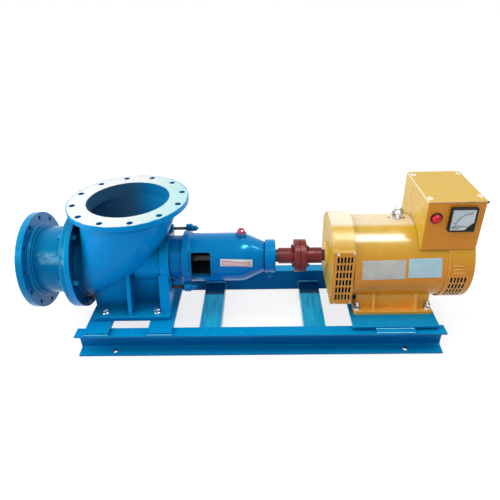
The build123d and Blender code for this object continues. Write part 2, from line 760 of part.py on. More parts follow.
with BuildPart() as generator_coupling:
    with BuildSketch(SHAFT_PLANE):
        with BuildLine():
            Polyline(
                (COUPLING_SPLIT_X + COUPLING_BUFFER_T, 0),
                (COUPLING_SPLIT_X + COUPLING_BUFFER_T, COUPLING_DISC_R),
                (COUPLING_DISC_END_X - COUPLING_CHAMFER, COUPLING_DISC_R),
                (COUPLING_DISC_END_X, COUPLING_DISC_R - COUPLING_CHAMFER),
                (COUPLING_DISC_END_X, COUPLING_HUB_R),
                (COUPLING_RIGHT_X, COUPLING_HUB_R),
                (COUPLING_RIGHT_X, 0),
                close=True,
            )
        make_face()
    revolve(axis=SHAFT_AXIS)
save(generator_coupling, "generator_coupling")

with BuildPart() as generator_shaft:
    with BuildSketch(across_shaft(COUPLING_RIGHT_X)):
        Circle(GEN_SHAFT_R)
    extrude(amount=REAR_BELL_END_X - SHAFT_END_GAP - COUPLING_RIGHT_X)
save(generator_shaft, "generator_shaft")

with BuildPart() as cooling_fan:
    with BuildSketch(across_shaft(FAN_PLATE_X)):
        Circle(FAN_R)
    extrude(amount=FAN_PLATE_T)
    with BuildSketch(across_shaft(FAN_PLATE_X)):
        Circle(FAN_HUB_R)
    extrude(amount=-FAN_BLADE_W)
    with BuildSketch(across_shaft(FAN_PLATE_X)):
        with PolarLocations((FAN_BLADE_IN_R + FAN_R) / 2, FAN_BLADES):
            Rectangle(FAN_R - FAN_BLADE_IN_R, FAN_BLADE_T)
    extrude(amount=-FAN_BLADE_W)
    with BuildSketch(across_shaft(FAN_PLATE_X + FAN_PLATE_T)):
        Circle(GEN_SHAFT_R)
    extrude(amount=-FAN_PLATE_T - FAN_BLADE_W, mode=Mode.SUBTRACT)
save(cooling_fan, "cooling_fan")

# Generator
with BuildPart() as stator_frame:
    with BuildSketch(across_shaft(STATOR_LEFT_X)):
        Circle(STATOR_R)
    extrude(amount=STATOR_RIGHT_X - STATOR_LEFT_X)
    with BuildSketch(Plane.XY.offset(SHAFT_Z)):
        with Locations((EYE_X, 0)):
            Circle(EYE_BOSS_R)
    extrude(amount=EYE_SEAT_Z - SHAFT_Z)
    with BuildSketch(Plane.XY.offset(PLATE_TOP_Z)):
        with Locations((GEN_FOOT_MID_X, 0)):
            with GridLocations(0, GEN_FOOT_DEPTH - GEN_FOOT_W, 1, 2):
                RectangleRounded(GEN_FOOT_RIGHT_X - GEN_FOOT_LEFT_X, GEN_FOOT_W, GEN_FOOT_CORNER_R)
    extrude(amount=GEN_FOOT_T)
    with BuildSketch(Plane.XY.offset(GEN_FOOT_TOP_Z)):
        with Locations((GEN_FOOT_MID_X, 0)):
            with GridLocations(0, 2 * GEN_WALL_OUT - GEN_WALL_T, 1, 2):
                Rectangle(GEN_FOOT_RIGHT_X - GEN_FOOT_LEFT_X - 2 * GEN_WALL_INSET, GEN_WALL_T)
    extrude(amount=GEN_WALL_TOP_Z - GEN_FOOT_TOP_Z)
    for rib_x in (GEN_RIB_LEFT_X, GEN_RIB_RIGHT_X):
        with BuildSketch(across_shaft(rib_x)):
            with BuildLine():
                Polyline(
                    (-GEN_WALL_OUT, GEN_FOOT_TOP_Z - SHAFT_Z),
                    (-GEN_WALL_OUT, GEN_RIB_TOP_Z - SHAFT_Z),
                    (-GEN_WALL_OUT - GEN_RIB_EDGE, GEN_RIB_TOP_Z - SHAFT_Z),
                    (-GEN_FOOT_DEPTH / 2 + GEN_RIB_EDGE, GEN_FOOT_TOP_Z - SHAFT_Z),
                    close=True,
                )
            make_face()
            mirror(about=Plane.YZ)
        extrude(amount=GEN_RIB_T / 2, both=True)
    with BuildSketch(Plane.XY.offset(PLATE_TOP_Z)):
        with Locations(((GEN_BOLT_LEFT_X + GEN_BOLT_RIGHT_X) / 2, 0)):
            with GridLocations(GEN_BOLT_RIGHT_X - GEN_BOLT_LEFT_X, GEN_BOLT_DEPTH, 2, 2):
                Circle(GEN_BOLT_R)
    extrude(amount=GEN_FOOT_T, mode=Mode.SUBTRACT)
    with BuildSketch(across_shaft(STATOR_LEFT_X)):
        Circle(GEN_SHAFT_R + CLEAR_GAP)
    extrude(amount=STATOR_RIGHT_X - STATOR_LEFT_X, mode=Mode.SUBTRACT)
save(stator_frame, "stator_frame")

with BuildPart() as drive_bell:
    with BuildSketch(across_shaft(BELL_LEFT_X)):
        Circle(BELL_R)
        with Locations((0, BELL_LOW_Z - SHAFT_Z)):
            Rectangle(2 * BELL_HALF, 2 * BELL_R, align=(Align.CENTER, Align.MIN), mode=Mode.INTERSECT)
            Rectangle(2 * BELL_HALF, BELL_TOP_Z - BELL_LOW_Z, align=(Align.CENTER, Align.MIN))
    extrude(amount=STATOR_LEFT_X - BELL_LEFT_X)
    with BuildSketch(across_shaft(STATOR_LEFT_X)):
        Circle(BELL_HALF - BELL_WALL)
        with Locations((0, BELL_LOW_Z + BELL_WALL - SHAFT_Z)):
            Rectangle(2 * BELL_R, BELL_R, align=(Align.CENTER, Align.MAX), mode=Mode.SUBTRACT)
    extrude(amount=-(STATOR_LEFT_X - BELL_LEFT_X - BELL_WALL), mode=Mode.SUBTRACT)
    with BuildSketch(Plane.XZ):
        with Locations((SLOT_MID_X, GRILLE_MID_Z)):
            Rectangle(GRILLE_W - 2 * GRILLE_BORDER, GRILLE_H - 2 * GRILLE_BORDER - 2 * BELL_WALL)
    extrude(amount=BELL_HALF, both=True, mode=Mode.SUBTRACT)
    with BuildSketch(across_shaft(BELL_LEFT_X)):
        Circle(GEN_SHAFT_R + CLEAR_GAP)
    extrude(amount=BELL_WALL, mode=Mode.SUBTRACT)
save(drive_bell, "drive_bell")

with BuildPart() as front_grille:
    with BuildSketch(Plane(origin=(0, -BELL_HALF, 0), x_dir=(1, 0, 0), z_dir=(0, -1, 0))):
        with Locations((GRILLE_MID_X, GRILLE_MID_Z)):
            Rectangle(GRILLE_W, GRILLE_H)
        with Locations((SLOT_MID_X, GRILLE_MID_Z)):
            with GridLocations(SLOT_PITCH_X, SLOT_PITCH_Z, SLOT_COLUMNS, SLOT_ROWS):
                Rectangle(SLOT_W, SLOT_H, mode=Mode.SUBTRACT)
    extrude(amount=GRILLE_T)
save(front_grille, "front_grille")

with BuildPart() as rear_grille:
    mirror(front_grille.part, about=Plane.XZ)
save(rear_grille, "rear_grille")

with BuildPart() as bearing_cap:
    with BuildSketch(SHAFT_PLANE):
        with BuildLine():
            Polyline(
                (BELL_LEFT_X, GEN_SHAFT_R + RUNNING_GAP),
                (BELL_LEFT_X, CAP_R),
                (CAP_LEFT_X + CAP_CHAMFER, CAP_R),
                (CAP_LEFT_X, CAP_R - CAP_CHAMFER),
                (CAP_LEFT_X, GEN_SHAFT_R + RUNNING_GAP),
                close=True,
            )
        make_face()
    revolve(axis=SHAFT_AXIS)
save(bearing_cap, "bearing_cap")

with BuildPart() as rear_bell:
    with BuildSketch(SHAFT_PLANE):
        with BuildLine():
            Polyline(
                (STATOR_RIGHT_X - REAR_BELL_LAP, STATOR_R + SEAT_GAP),
                (STATOR_RIGHT_X - REAR_BELL_LAP, REAR_BELL_R),
                (REAR_BELL_END_X, REAR_BELL_R),
                (REAR_BELL_END_X, GEN_SHAFT_R + RUNNING_GAP),
                (REAR_BELL_END_X - REAR_BELL_WALL, GEN_SHAFT_R + RUNNING_GAP),
                (REAR_BELL_END_X - REAR_BELL_WALL, REAR_BELL_R - REAR_BELL_WALL),
                (STATOR_RIGHT_X, REAR_BELL_R - REAR_BELL_WALL),
                (STATOR_RIGHT_X, STATOR_R + SEAT_GAP),
                close=True,
            )
        make_face()
    revolve(axis=SHAFT_AXIS)
    for row in range(REAR_SLOT_ROWS):
        for side in (-1, 1):
            tilt = REAR_SLOT_LOW_ANGLE + row * REAR_SLOT_PITCH_ANGLE
            spoke = Vector(0, side, 0).rotate(Axis.X, -side * tilt)
            with BuildSketch(Plane(origin=(REAR_SLOT_X, 0, SHAFT_Z), x_dir=(1, 0, 0), z_dir=spoke)):
                with GridLocations(REAR_SLOT_PITCH_X, 0, SLOT_COLUMNS, 1):
                    Rectangle(SLOT_W, SLOT_H)
            extrude(amount=REAR_BELL_R + REAR_BELL_WALL, mode=Mode.SUBTRACT)
save(rear_bell, "rear_bell")

with BuildPart() as rear_cover:
    with BuildSketch(across_shaft(REAR_BELL_END_X)):
        Circle(REAR_COVER_R)
    extrude(amount=REAR_COVER_T)
    chamfer(rear_cover.faces().sort_by(Axis.X)[-1].edges(), REAR_COVER_EDGE)
save(rear_cover, "rear_cover")

with BuildPart() as lifting_eye:
    with BuildSketch(Plane.XY.offset(EYE_SEAT_Z)):
        with Locations((EYE_X, 0)):
            Circle(EYE_COLLAR_R)
    extrude(amount=EYE_COLLAR_T)
    with Locations(Location((EYE_X, 0, EYE_SEAT_Z + EYE_RING_R + EYE_WIRE_R), (90, 0, 0))):
        Torus(EYE_RING_R, EYE_WIRE_R)
save(lifting_eye, "lifting_eye")

# Terminal box: open sheet shell saddled over the stator and the rear bell
with BuildPart() as terminal_box:
    with BuildSketch(Plane.XY.offset(BOX_LOW_Z)):
        with Locations((BOX_MID_X, 0)):
            RectangleRounded(BOX_W, BOX_DEPTH, BOX_CORNER_R)
            Rectangle(BOX_W - 2 * BOX_WALL, BOX_DEPTH - 2 * BOX_WALL, mode=Mode.SUBTRACT)
    extrude(amount=BOX_RIM_Z - BOX_LOW_Z)
    with BuildSketch(across_shaft(BOX_LEFT_X)):
        Circle(STATOR_R + SEAT_GAP)
    extrude(amount=STATOR_RIGHT_X - BOX_LEFT_X, mode=Mode.SUBTRACT)
    with BuildSketch(across_shaft(STATOR_RIGHT_X - REAR_BELL_LAP - SEAT_GAP)):
        Circle(REAR_BELL_R + SEAT_GAP)
    extrude(amount=BOX_RIGHT_X - STATOR_RIGHT_X + REAR_BELL_LAP + SEAT_GAP, mode=Mode.SUBTRACT)
save(terminal_box, "terminal_box")

with BuildPart() as box_lid:
    with BuildSketch(Plane.XY.offset(BOX_RIM_Z)):
        with Locations((BOX_MID_X, 0)):
            RectangleRounded(BOX_W, BOX_DEPTH, BOX_CORNER_R)
    extrude(amount=LID_T)
save(box_lid, "box_lid")

with BuildPart() as meter_frame:
    with BuildSketch(BOX_FRONT):
        with Locations((METER_X, METER_Z)):
            RectangleRounded(METER_SIZE, METER_SIZE, METER_CORNER_R)
    extrude(amount=METER_T)
    with BuildSketch(BOX_FRONT.offset(METER_T)):
        with Locations((METER_X, METER_Z)):
            Rectangle(METER_SIZE - 2 * METER_RIM, METER_SIZE - 2 * METER_RIM)
    extrude(amount=-METER_RECESS, mode=Mode.SUBTRACT)
save(meter_frame, "meter_frame")

with BuildPart() as meter_dial:
    with BuildSketch(BOX_FRONT.offset(METER_T - METER_RECESS)):
        with Locations((METER_X, METER_Z)):
            Rectangle(METER_SIZE - 2 * METER_RIM, METER_SIZE - 2 * METER_RIM)
    extrude(amount=DIAL_T)
save(meter_dial, "meter_dial")

with BuildPart() as indicator_lamp:
    with BuildSketch(BOX_FRONT):
        with Locations((LAMP_X, LAMP_Z)):
            Circle(LAMP_R)
    extrude(amount=LAMP_COLLAR_T + LAMP_DOME)
    fillet(indicator_lamp.faces().sort_by(Axis.Y)[0].edges(), LAMP_DOME - SEAT_GAP)
save(indicator_lamp, "indicator_lamp")
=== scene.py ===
import math
import random

import bmesh
import bpy
from mathutils import Matrix, Vector
from mathutils.bvhtree import BVHTree


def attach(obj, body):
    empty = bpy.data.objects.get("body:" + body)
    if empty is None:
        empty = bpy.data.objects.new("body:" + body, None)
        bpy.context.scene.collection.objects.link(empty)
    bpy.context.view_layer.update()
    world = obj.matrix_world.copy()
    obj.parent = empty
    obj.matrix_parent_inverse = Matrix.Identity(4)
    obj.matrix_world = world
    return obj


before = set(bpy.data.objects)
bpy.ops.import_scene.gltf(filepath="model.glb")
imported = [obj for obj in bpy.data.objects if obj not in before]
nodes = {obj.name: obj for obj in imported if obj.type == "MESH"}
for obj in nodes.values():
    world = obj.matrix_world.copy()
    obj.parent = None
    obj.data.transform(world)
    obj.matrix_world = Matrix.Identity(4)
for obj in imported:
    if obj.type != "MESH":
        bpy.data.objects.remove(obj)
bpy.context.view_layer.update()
scene = bpy.context.scene
chance = random.Random(7)

MM = 0.001
X_AXIS = Vector((1, 0, 0))
Z_AXIS = Vector((0, 0, 1))
FRONT = Vector((0, -1, 0))
SIDES = (-1, 1)

# Camera of the photograph: the eye in metres, the focal length and the width in pixels
EYE = Vector((0.022, -1.529, 1.265))
PITCH, YAW, ROLL = (math.radians(a) for a in (31.49, 1.92, 1.85))
FOCAL_PX = 460.9
PHOTO_PX = 500.0
SENSOR_MM = 36.0

# Places in millimetres, as the solids have them
SHAFT_Z = 300.0
OUTLET_X = -469.0
ANCHOR_HOLE = (558.0, 215.0)
CASING_FOOT_TOP = 130
CASING_BOLT_X = (-597, -394)
CASING_BOLT_Y = 128
JOINT_BOLTS = 6
JOINT_BOLT_R = 164
JOINT_FACE_CASING = -671
JOINT_FACE_CHAMBER = -707
CHAMBER_WELDS = ((-709.9, 133.9), (-832.8, 132.2))
LUGS = 2
LUG_R = 118
LUG_ANGLE = 45
LUG_FACE_BRACKET = -259
LUG_FACE_CASING = -368
TIE_STUD_X = -334
OIL_CAP_X = -61
DRAIN_PLUG = (46, -22, 242)
COUPLING_BOLTS = 4
COUPLING_BOLT_R = 47
COUPLING_FACE_TURBINE = 140
COUPLING_FACE_GENERATOR = 187.5
COUPLING_ANGLE = 20
HUB_R = 31
SET_SCREW_X = (104, 224)
SET_SCREW_WAY = (0, -0.64, 0.768)
GENERATOR_FOOT_TOP = 132
GENERATOR_STUD_X = (379, 646)
GENERATOR_STUD_Y = 123
DRUM_R = 157.0
DRUM_PLUGS = ((491, 6), (538, 1), (547, 5))
GRILLE_FACE_Y = 154
GRILLE_SCREW_X = (286, 343)
GRILLE_SCREW_Z = (184, 399)
REAR_BELL_R = 162.5
REAR_RIDGES = ((693, 739, 342), (696, 742, 329), (699, 745, 316))
REAR_COVER_X = 775
REAR_SCREWS = 8
REAR_SCREW_R = 141
BOX_LEFT_X = 574
BOX_DIMPLES = ((42, 556), (53, 529), (-79, 535), (-69, 483))
BOX_FRONT_Y = -134
LAMP = (609, BOX_FRONT_Y, 525)
LID_TOP = 585
LID_SCREWS = ((589, 104), (761, 112), (588, -104), (761, -92))
LID_BUFFER = (769, 128, 579)

# Welds of the skid in millimetres: ends along X, and (y, z) of their lines
PAD_RUNS = ((-657, -565), (-417, -325))
SPACER_RUN = (437, 579)
PAD_WELD = (230.5, 101.5)
PLATE_WELD = (216, 109)
TIE_X = (-195, 223)
TIE_WELD = (185.6, 43.5)
TIE_WELD_EDGE = 43.5
TIE_WELD_LOW = 4
TIE_WELD_REACH = 42

# Corners of the blank plates in millimetres, as (x, z)
GREY_PLATE = ((379, 289), (534, 292), (531, 365), (375, 363))
BLUE_PLATE = ((542, 296), (662, 297), (657, 370), (541, 368))
BRACKET_PLATE = ((-139, 316), (-21, 301.5), (-19, 329.5), (-138, 342))
PLATE_STEPS = (28, 14)
PLATE_SINK = -0.3

# Meter in millimetres, its scale in degrees
METER = (695, -142, 522)
DIAL_HALF = 39.0
RIM_W = 3
PIVOT = (724, 493)
SCALE_START = 92
SCALE_SWEEP = 86
SCALE_STEPS = 30
SCALE_LONG = 5
NEEDLE_ANGLE = 172
PRINT_BACK = -141.6
PRINT_FRONT = -142.3

# Fasteners, as shares of the width across flats or of the head's radius
CHAMFER = 0.06
WASHER_R = 0.62
WASHER_T = 0.13
HEAD_H = 0.55
PAD_H = 0.58
NUT_H = 0.75
DOME = ((0.0, 1.0), (0.45, 0.98), (0.75, 0.80), (0.9, 0.5))
SLOT_HALF = 0.12
HALF_TURN_STEPS = 10
BEAD_SIDES = 8


# Shader nodes
class Graph:
    """The nodes of one material or world."""

    def __init__(self, owner):
        owner.use_nodes = True
        self.tree = owner.node_tree
        self.tree.nodes.clear()

    def node(self, kind, **settings):
        made = self.tree.nodes.new("ShaderNode" + kind)
        for key, value in settings.items():
            setattr(made, key, value)
        return made

    def put(self, socket, value):
        """Link a socket, or set its value."""
        if isinstance(value, bpy.types.NodeSocket):
            self.tree.links.new(value, socket)
        elif isinstance(value, tuple) and socket.type == "RGBA":
            socket.default_value = (*value, 1.0)
        else:
            socket.default_value = value

    def shader(self, kind, **inputs):
        made = self.node(kind)
        for key, value in inputs.items():
            self.put(made.inputs[key], value)
        return made.outputs[0]

    def span(self, value, low, high, to_low=0.0, to_high=1.0, curve="SMOOTHSTEP"):
        """Maps a value so that low gives to_low and high gives to_high."""
        made = self.node("MapRange", interpolation_type=curve)
        for i, v in enumerate((value, low, high, to_low, to_high)):
            self.put(made.inputs[i], v)
        return made.outputs[0]

    def math(self, what, a, b=0.0):
        made = self.node("Math", operation=what)
        self.put(made.inputs[0], a)
        self.put(made.inputs[1], b)
        return made.outputs[0]

    def all_of(self, *masks):
        out = masks[0]
        for mask in masks[1:]:
            out = self.math("MULTIPLY", out, mask)
        return out

    def white_to_eye(self, lit, shown):
        """Mix a lit shader with a plain white one that the camera, reflections and clear parts see."""
        path = self.node("LightPath").outputs
        seen = path["Is Camera Ray"]
        for kind in ("Is Glossy Ray", "Is Transmission Ray"):
            seen = self.math("MAXIMUM", seen, path[kind])
        mix = self.node("MixShader")
        for i, value in enumerate((seen, lit, shown)):
            self.put(mix.inputs[i], value)
        return mix.outputs[0]


class Finish(Graph):
    """One procedural material: a principled shader and the nodes that feed it."""

    def __init__(self, name):
        self.material = bpy.data.materials.new(name)
        super().__init__(self.material)
        self.principled = self.node("BsdfPrincipled")
        self.put(self.node("OutputMaterial").inputs[0], self.principled.outputs[0])
        self.place = self.node("TexCoord").outputs["Object"]
        self.normal = None

    def set(self, **values):
        """Shader inputs by name, with _ for a space."""
        for key, value in values.items():
            self.put(self.principled.inputs[key.replace("_", " ")], value)

    def noise(self, scale, detail=3.0, rough=0.55, stretch=None):
        made = self.node("TexNoise")
        place = self.place
        if stretch:
            bend = self.node("Mapping")
            bend.inputs["Scale"].default_value = stretch
            self.put(bend.inputs["Vector"], self.place)
            place = bend.outputs[0]
        for key, value in (("Vector", place), ("Scale", scale), ("Detail", detail), ("Roughness", rough)):
            self.put(made.inputs[key], value)
        return made.outputs[0]

    def mix(self, part, a, b):
        made = self.node("Mix", data_type="RGBA")
        self.put(made.inputs[0], part)
        self.put(made.inputs[6], a)
        self.put(made.inputs[7], b)
        return made.outputs[2]

    def stain(self, mask, colour, rougher=0.0):
        """Colours the masked part, and roughens it."""
        self.colour = self.mix(mask, self.colour, colour)
        if rougher:
            self.rough = self.math("ADD", self.rough, self.math("MULTIPLY", mask, rougher))

    def split(self, vector):
        made = self.node("SeparateXYZ")
        self.put(made.inputs[0], vector)
        return made.outputs

    def axes(self):
        return self.split(self.place)

    def facing(self):
        return self.split(self.node("NewGeometry").outputs["Normal"])

    def radius(self, a, b, centre):
        """Distance from a centre in the plane of two coordinates."""
        squares = []
        for value, middle in ((a, centre[0]), (b, centre[1])):
            away = self.math("ABSOLUTE", self.math("SUBTRACT", value, middle))
            squares.append(self.math("POWER", away, 2.0))
        return self.math("SQRT", self.math("ADD", *squares))

    def from_shaft(self, y, z):
        return self.radius(y, z, (0.0, SHAFT_Z * MM))

    def edges(self, radius):
        """Rounds the shaded edges, and returns a mask that is 1 along them."""
        bevel = self.node("Bevel", samples=6)
        bevel.inputs["Radius"].default_value = radius
        dot = self.node("VectorMath", operation="DOT_PRODUCT")
        self.put(dot.inputs[0], bevel.outputs[0])
        self.put(dot.inputs[1], self.node("NewGeometry").outputs["Normal"])
        self.normal = bevel.outputs[0]
        return self.span(dot.outputs["Value"], 0.985, 0.80)

    def hollow(self, reach):
        """Mask that is 1 in corners and under overhangs."""
        made = self.node("AmbientOcclusion", samples=6)
        made.inputs["Distance"].default_value = reach
        return self.span(made.outputs["AO"], 0.90, 0.35)

    def bump(self, height, depth):
        made = self.node("Bump")
        made.inputs["Strength"].default_value = 1.0
        made.inputs["Distance"].default_value = depth
        self.put(made.inputs["Height"], height)
        if self.normal is not None:
            self.put(made.inputs["Normal"], self.normal)
        self.normal = made.outputs[0]

    def done(self):
        if self.normal is not None:
            self.set(Normal=self.normal)
        return self.material


# Enamels: colour, deeper colour, rubbed edge that is also a painted highlight, painted light on faces that
# look up or left, tint of the sheen
SKY = (0.02, 0.75, 1.0)
BLUE = ((0.0004, 0.310, 0.80), (0.0003, 0.265, 0.73), (0.06, 0.52, 0.74), (0.001, 0.34, 0.66), SKY)
# The chamber, skid and tie blues are darker copies of the cast blue, as painted shade; the tie's colour for
# faces that look up is paler, as painted light.
CHAMBER_BLUE = ((0.0004, 0.190, 0.50), (0.0003, 0.165, 0.46), (0.16, 0.62, 0.80), (0.001, 0.26, 0.56), SKY)
SKID_BLUE = ((0.0004, 0.190, 0.56), (0.0003, 0.165, 0.51), (0.05, 0.50, 0.72), (0.001, 0.32, 0.67), SKY)
TIE_BLUE = ((0.0004, 0.200, 0.54), (0.0003, 0.150, 0.42), (0.05, 0.50, 0.72), (0.002, 0.56, 0.88), SKY)
WELD_GLINT_BLUE = (
    (0.010, 0.30, 0.62), (0.004, 0.22, 0.54), (0.30, 0.74, 0.86), (0.10, 0.58, 0.80), (0.5, 0.9, 1.0),
)
BRACKET_BLUE = (
    (0.0004, 0.180, 0.58), (0.0003, 0.160, 0.53), (0.06, 0.52, 0.74), (0.001, 0.25, 0.61), (0.12, 0.85, 1.0),
)
YELLOW = (
    (0.74, 0.275, 0.006), (0.70, 0.252, 0.005), (0.96, 0.78, 0.40), (0.69, 0.435, 0.040), (1.0, 0.98, 0.94),
)
CAP_YELLOW = (
    (0.82, 0.40, 0.035), (0.78, 0.36, 0.028), (0.96, 0.78, 0.40), (0.76, 0.49, 0.075), (1.0, 0.98, 0.94),
)
GLINT_CREAM = ((0.85, 0.55, 0.16), (0.80, 0.48, 0.11), (0.95, 0.85, 0.60), (0.92, 0.78, 0.48), (1.0, 0.96, 0.88))
GLARE_WHITE = (0.97, 0.90, 0.76)
LIT_RIM_CREAM = (0.97, 0.86, 0.60)
LIT_FOOT_YELLOW = (0.95, 0.47, 0.060)
SHADOW_NAVY = (0.0003, 0.035, 0.110)
DARK = (0.004, 0.0042, 0.0045)
FACED_IRON = (0.80, 0.82, 0.80)
OVERSPRAY = (0.30, 0.70, 0.72)
BORE_GREY = (0.045, 0.14, 0.24)
BORE_BLUE = (0.004, 0.21, 0.48)
GLINT_FLECK = (0.42, 0.80, 0.92)
HIGHLIGHT_LINE = (0.45, 0.85, 0.92)
HIGHLIGHT_LINE_X = -0.231
LABEL_WHITE = (0.74, 0.78, 0.80)
LABEL_DULL = (0.68, 0.72, 0.75)
LABEL_PINK = (0.70, 0.56, 0.57)
LABEL_RED = (0.62, 0.16, 0.16)
LABEL_MIDDLE = (-0.079, 0.3223)
LABEL_HALF = (0.0525, 0.0085)
LABEL_SLOPE = 0.118
SHADE_REACH = 0.11
COAT_ROUGH = 0.08


def paint(name, coat_of, rough, peel=0.00004, cast=0.0, round_off=0.002, coat=0.0, spec=0.45, hollow_shade=0.0):
    """Brushed or sprayed enamel, with painted light where it looks up or left, rubbed edges lightened also as
    a painted highlight, and painted shade in corners and under overhangs when asked for.
    """
    colour, shade, worn_and_lit, lit_face, tint = coat_of
    f = Finish(name)
    edge = f.edges(round_off)
    broad = f.noise(4.0, 4.0)
    fine = f.noise(60.0, 5.0, 0.65)
    f.colour = f.mix(f.span(broad, 0.32, 0.68), colour, shade)
    f.stain(f.span(fine, 0.55, 0.80, 0.0, 0.14), shade)
    side, _, up = f.facing()
    # Painted light: faces that look up or left are lighter.
    f.stain(f.math("MAXIMUM", f.span(up, 0.05, 0.98), f.span(side, -0.35, -0.98)), lit_face)
    # Rubbed edges, lightened also as a painted highlight along them.
    f.stain(f.all_of(edge, f.span(f.noise(55.0, 4.0, 0.7), 0.34, 0.62, 0.25, 0.90)), worn_and_lit)
    # Painted shade in corners and under overhangs.
    if hollow_shade:
        deep = tuple(v * 0.22 for v in shade)
        f.stain(f.math("MULTIPLY", f.hollow(SHADE_REACH), hollow_shade), deep)
    f.rough = f.span(f.noise(22.0, 5.0), 0.3, 0.75, rough * 0.75, rough * 1.35)
    if cast:
        f.bump(f.noise(38.0, 3.0), cast * 1.6)
        f.bump(f.noise(150.0, 5.0, 0.6), cast)
    f.bump(f.noise(420.0, 2.0), peel)
    f.set(Coat_Weight=coat, Coat_Roughness=COAT_ROUGH, Specular_IOR_Level=spec, Specular_Tint=tint)
    return f


def enamel(f):
    f.set(Base_Color=f.colour, Roughness=f.rough)
    return f.done()


# Masks below take places in metres, and are 0 at the first limit and 1 at the second
def casing_finish():
    """Cast blue enamel with a bright faced top flange, a bore painted darker as painted shade and greyer
    towards the left, painted shade behind the joint flange, and a rougher skin low on the foot.
    """
    f = paint("casing_blue_enamel", BLUE, 0.22, round_off=0.004, spec=0.22, hollow_shade=0.70)
    x, y, z = f.axes()
    along, across, up = f.facing()
    foot = f.all_of(f.span(z, 0.33, 0.22), f.span(x, -0.46, -0.53))
    f.bump(f.all_of(f.noise(75.0, 6.0, 0.7), f.span(foot, 0.0, 1.0, 0.22, 1.0)), 0.0022)
    f.bump(f.noise(38.0, 3.0), 0.0005)
    ring = f.radius(x, y, (OUTLET_X * MM, 0.0))
    from_outlet = f.math("SUBTRACT", x, OUTLET_X * MM)
    outward = f.math("ADD", f.math("MULTIPLY", along, from_outlet), f.math("MULTIPLY", across, y))
    drift = f.math("ADD", f.math("MULTIPLY", f.noise(7.0, 5.0, 0.65), 0.10), x)

    ragged = f.math("ADD", ring, f.math("MULTIPLY", f.noise(30.0), 0.012))
    faced = f.all_of(f.span(z, 0.5551, 0.5557), f.span(up, 0.90, 0.97), f.span(ragged, 0.2245, 0.2205))
    face = f.mix(f.span(drift, -0.44, -0.22, 0.0, 0.62), FACED_IRON, OVERSPRAY)

    neck = f.all_of(f.span(ring, 0.1512, 0.1502), f.span(z, 0.40, 0.42), f.span(outward, 0.0, -0.02))
    height = f.all_of(f.span(z, 0.24, 0.26), f.span(z, 0.525, 0.515))
    deep = f.all_of(height, f.span(x, -0.660, -0.655), f.span(x, -0.32, -0.33))
    back_wall = f.all_of(deep, f.span(y, -0.01, 0.01), f.span(across, -0.02, -0.10))
    left_wall = f.all_of(deep, f.span(z, 0.35, 0.37), f.span(x, -0.55, -0.57), f.span(along, 0.12, 0.25))
    inside = f.math("MAXIMUM", neck, f.math("MAXIMUM", back_wall, left_wall))
    # The bore is painted darker than the outside, as painted shade, and greyer towards the left.
    bore = f.mix(f.span(drift, -0.46, -0.38), BORE_GREY, BORE_BLUE)

    # Painted shade on the neck between the joint flange and the elbow.
    shade_behind_joint = f.all_of(f.span(f.from_shaft(y, z), 0.188, 0.184), f.span(x, -0.600, -0.650, 0.0, 0.8))
    f.stain(shade_behind_joint, SHADOW_NAVY)
    f.stain(faced, face)
    f.stain(inside, bore)
    f.rough = f.math("ADD", f.rough, f.math("MULTIPLY", f.math("MAXIMUM", faced, inside), 0.22))
    turning_marks = f.math("SINE", f.math("MULTIPLY", ring, 4200.0))
    f.bump(f.all_of(turning_marks, faced), 0.00006)
    return enamel(f)


def chamber_finish():
    """Cast blue enamel with a painted highlight: pale flecks of sheen where the rough skin turns to the front
    and up.
    """
    f = paint("chamber_blue_enamel", CHAMBER_BLUE, 0.20, cast=0.00035, round_off=0.004, spec=0.40, hollow_shade=0.85)
    _, out, up = f.facing()
    x = f.axes()[0]
    # Painted highlight: pale flecks where the skin turns to the front and up.
    turned = f.all_of(f.span(out, -0.66, -0.80), f.span(up, 0.34, 0.48), f.span(up, 0.76, 0.62))
    patchy = f.all_of(f.span(f.noise(26.0, 3.0), 0.36, 0.60), f.span(f.noise(520.0, 3.0, 0.7), 0.40, 0.62))
    glint_flecks = f.all_of(turned, f.span(x, -0.835, -0.815), patchy)
    f.stain(f.math("MULTIPLY", glint_flecks, 0.75), GLINT_FLECK)
    return enamel(f)


def skid_finish():
    """Skid blue, with painted shade inside the four anchor holes."""
    f = paint("skid_blue_enamel", SKID_BLUE, 0.22, cast=0.00012, spec=0.26, hollow_shade=0.35)
    x, y, z = f.axes()
    centre = (ANCHOR_HOLE[0] * MM, ANCHOR_HOLE[1] * MM)
    hole = f.radius(f.math("ABSOLUTE", x), f.math("ABSOLUTE", y), centre)
    # Painted shade inside the anchor holes.
    f.stain(f.all_of(f.span(hole, 0.0100, 0.0094), f.span(z, 0.016, 0.014)), DARK)
    return enamel(f)


def tie_finish():
    """Skid blue with brush marks along the tie, a painted highlight line on its top, and a painted shadow of
    the shaft line at its far end.
    """
    f = paint("tie_blue_enamel", TIE_BLUE, 0.22, cast=0.00012, spec=0.32, hollow_shade=0.4)
    x, y, z = f.axes()
    brushed = f.span(f.noise(16.0, 5.0, 0.7, (5.0, 0.35, 1.0)), 0.40, 0.66)
    f.stain(f.math("MULTIPLY", brushed, 0.65), SKID_BLUE[0])
    # Painted highlight: a pale line along the top of the tie.
    line = f.span(f.math("ABSOLUTE", f.math("SUBTRACT", x, HIGHLIGHT_LINE_X)), 0.0030, 0.0012)
    f.stain(f.all_of(line, f.span(z, 0.043, 0.044), f.span(y, 0.085, 0.06)), HIGHLIGHT_LINE)
    # Painted shadow of the shaft line at the tie's far end.
    f.stain(f.span(y, 0.088, 0.102), SHADOW_NAVY)
    return enamel(f)


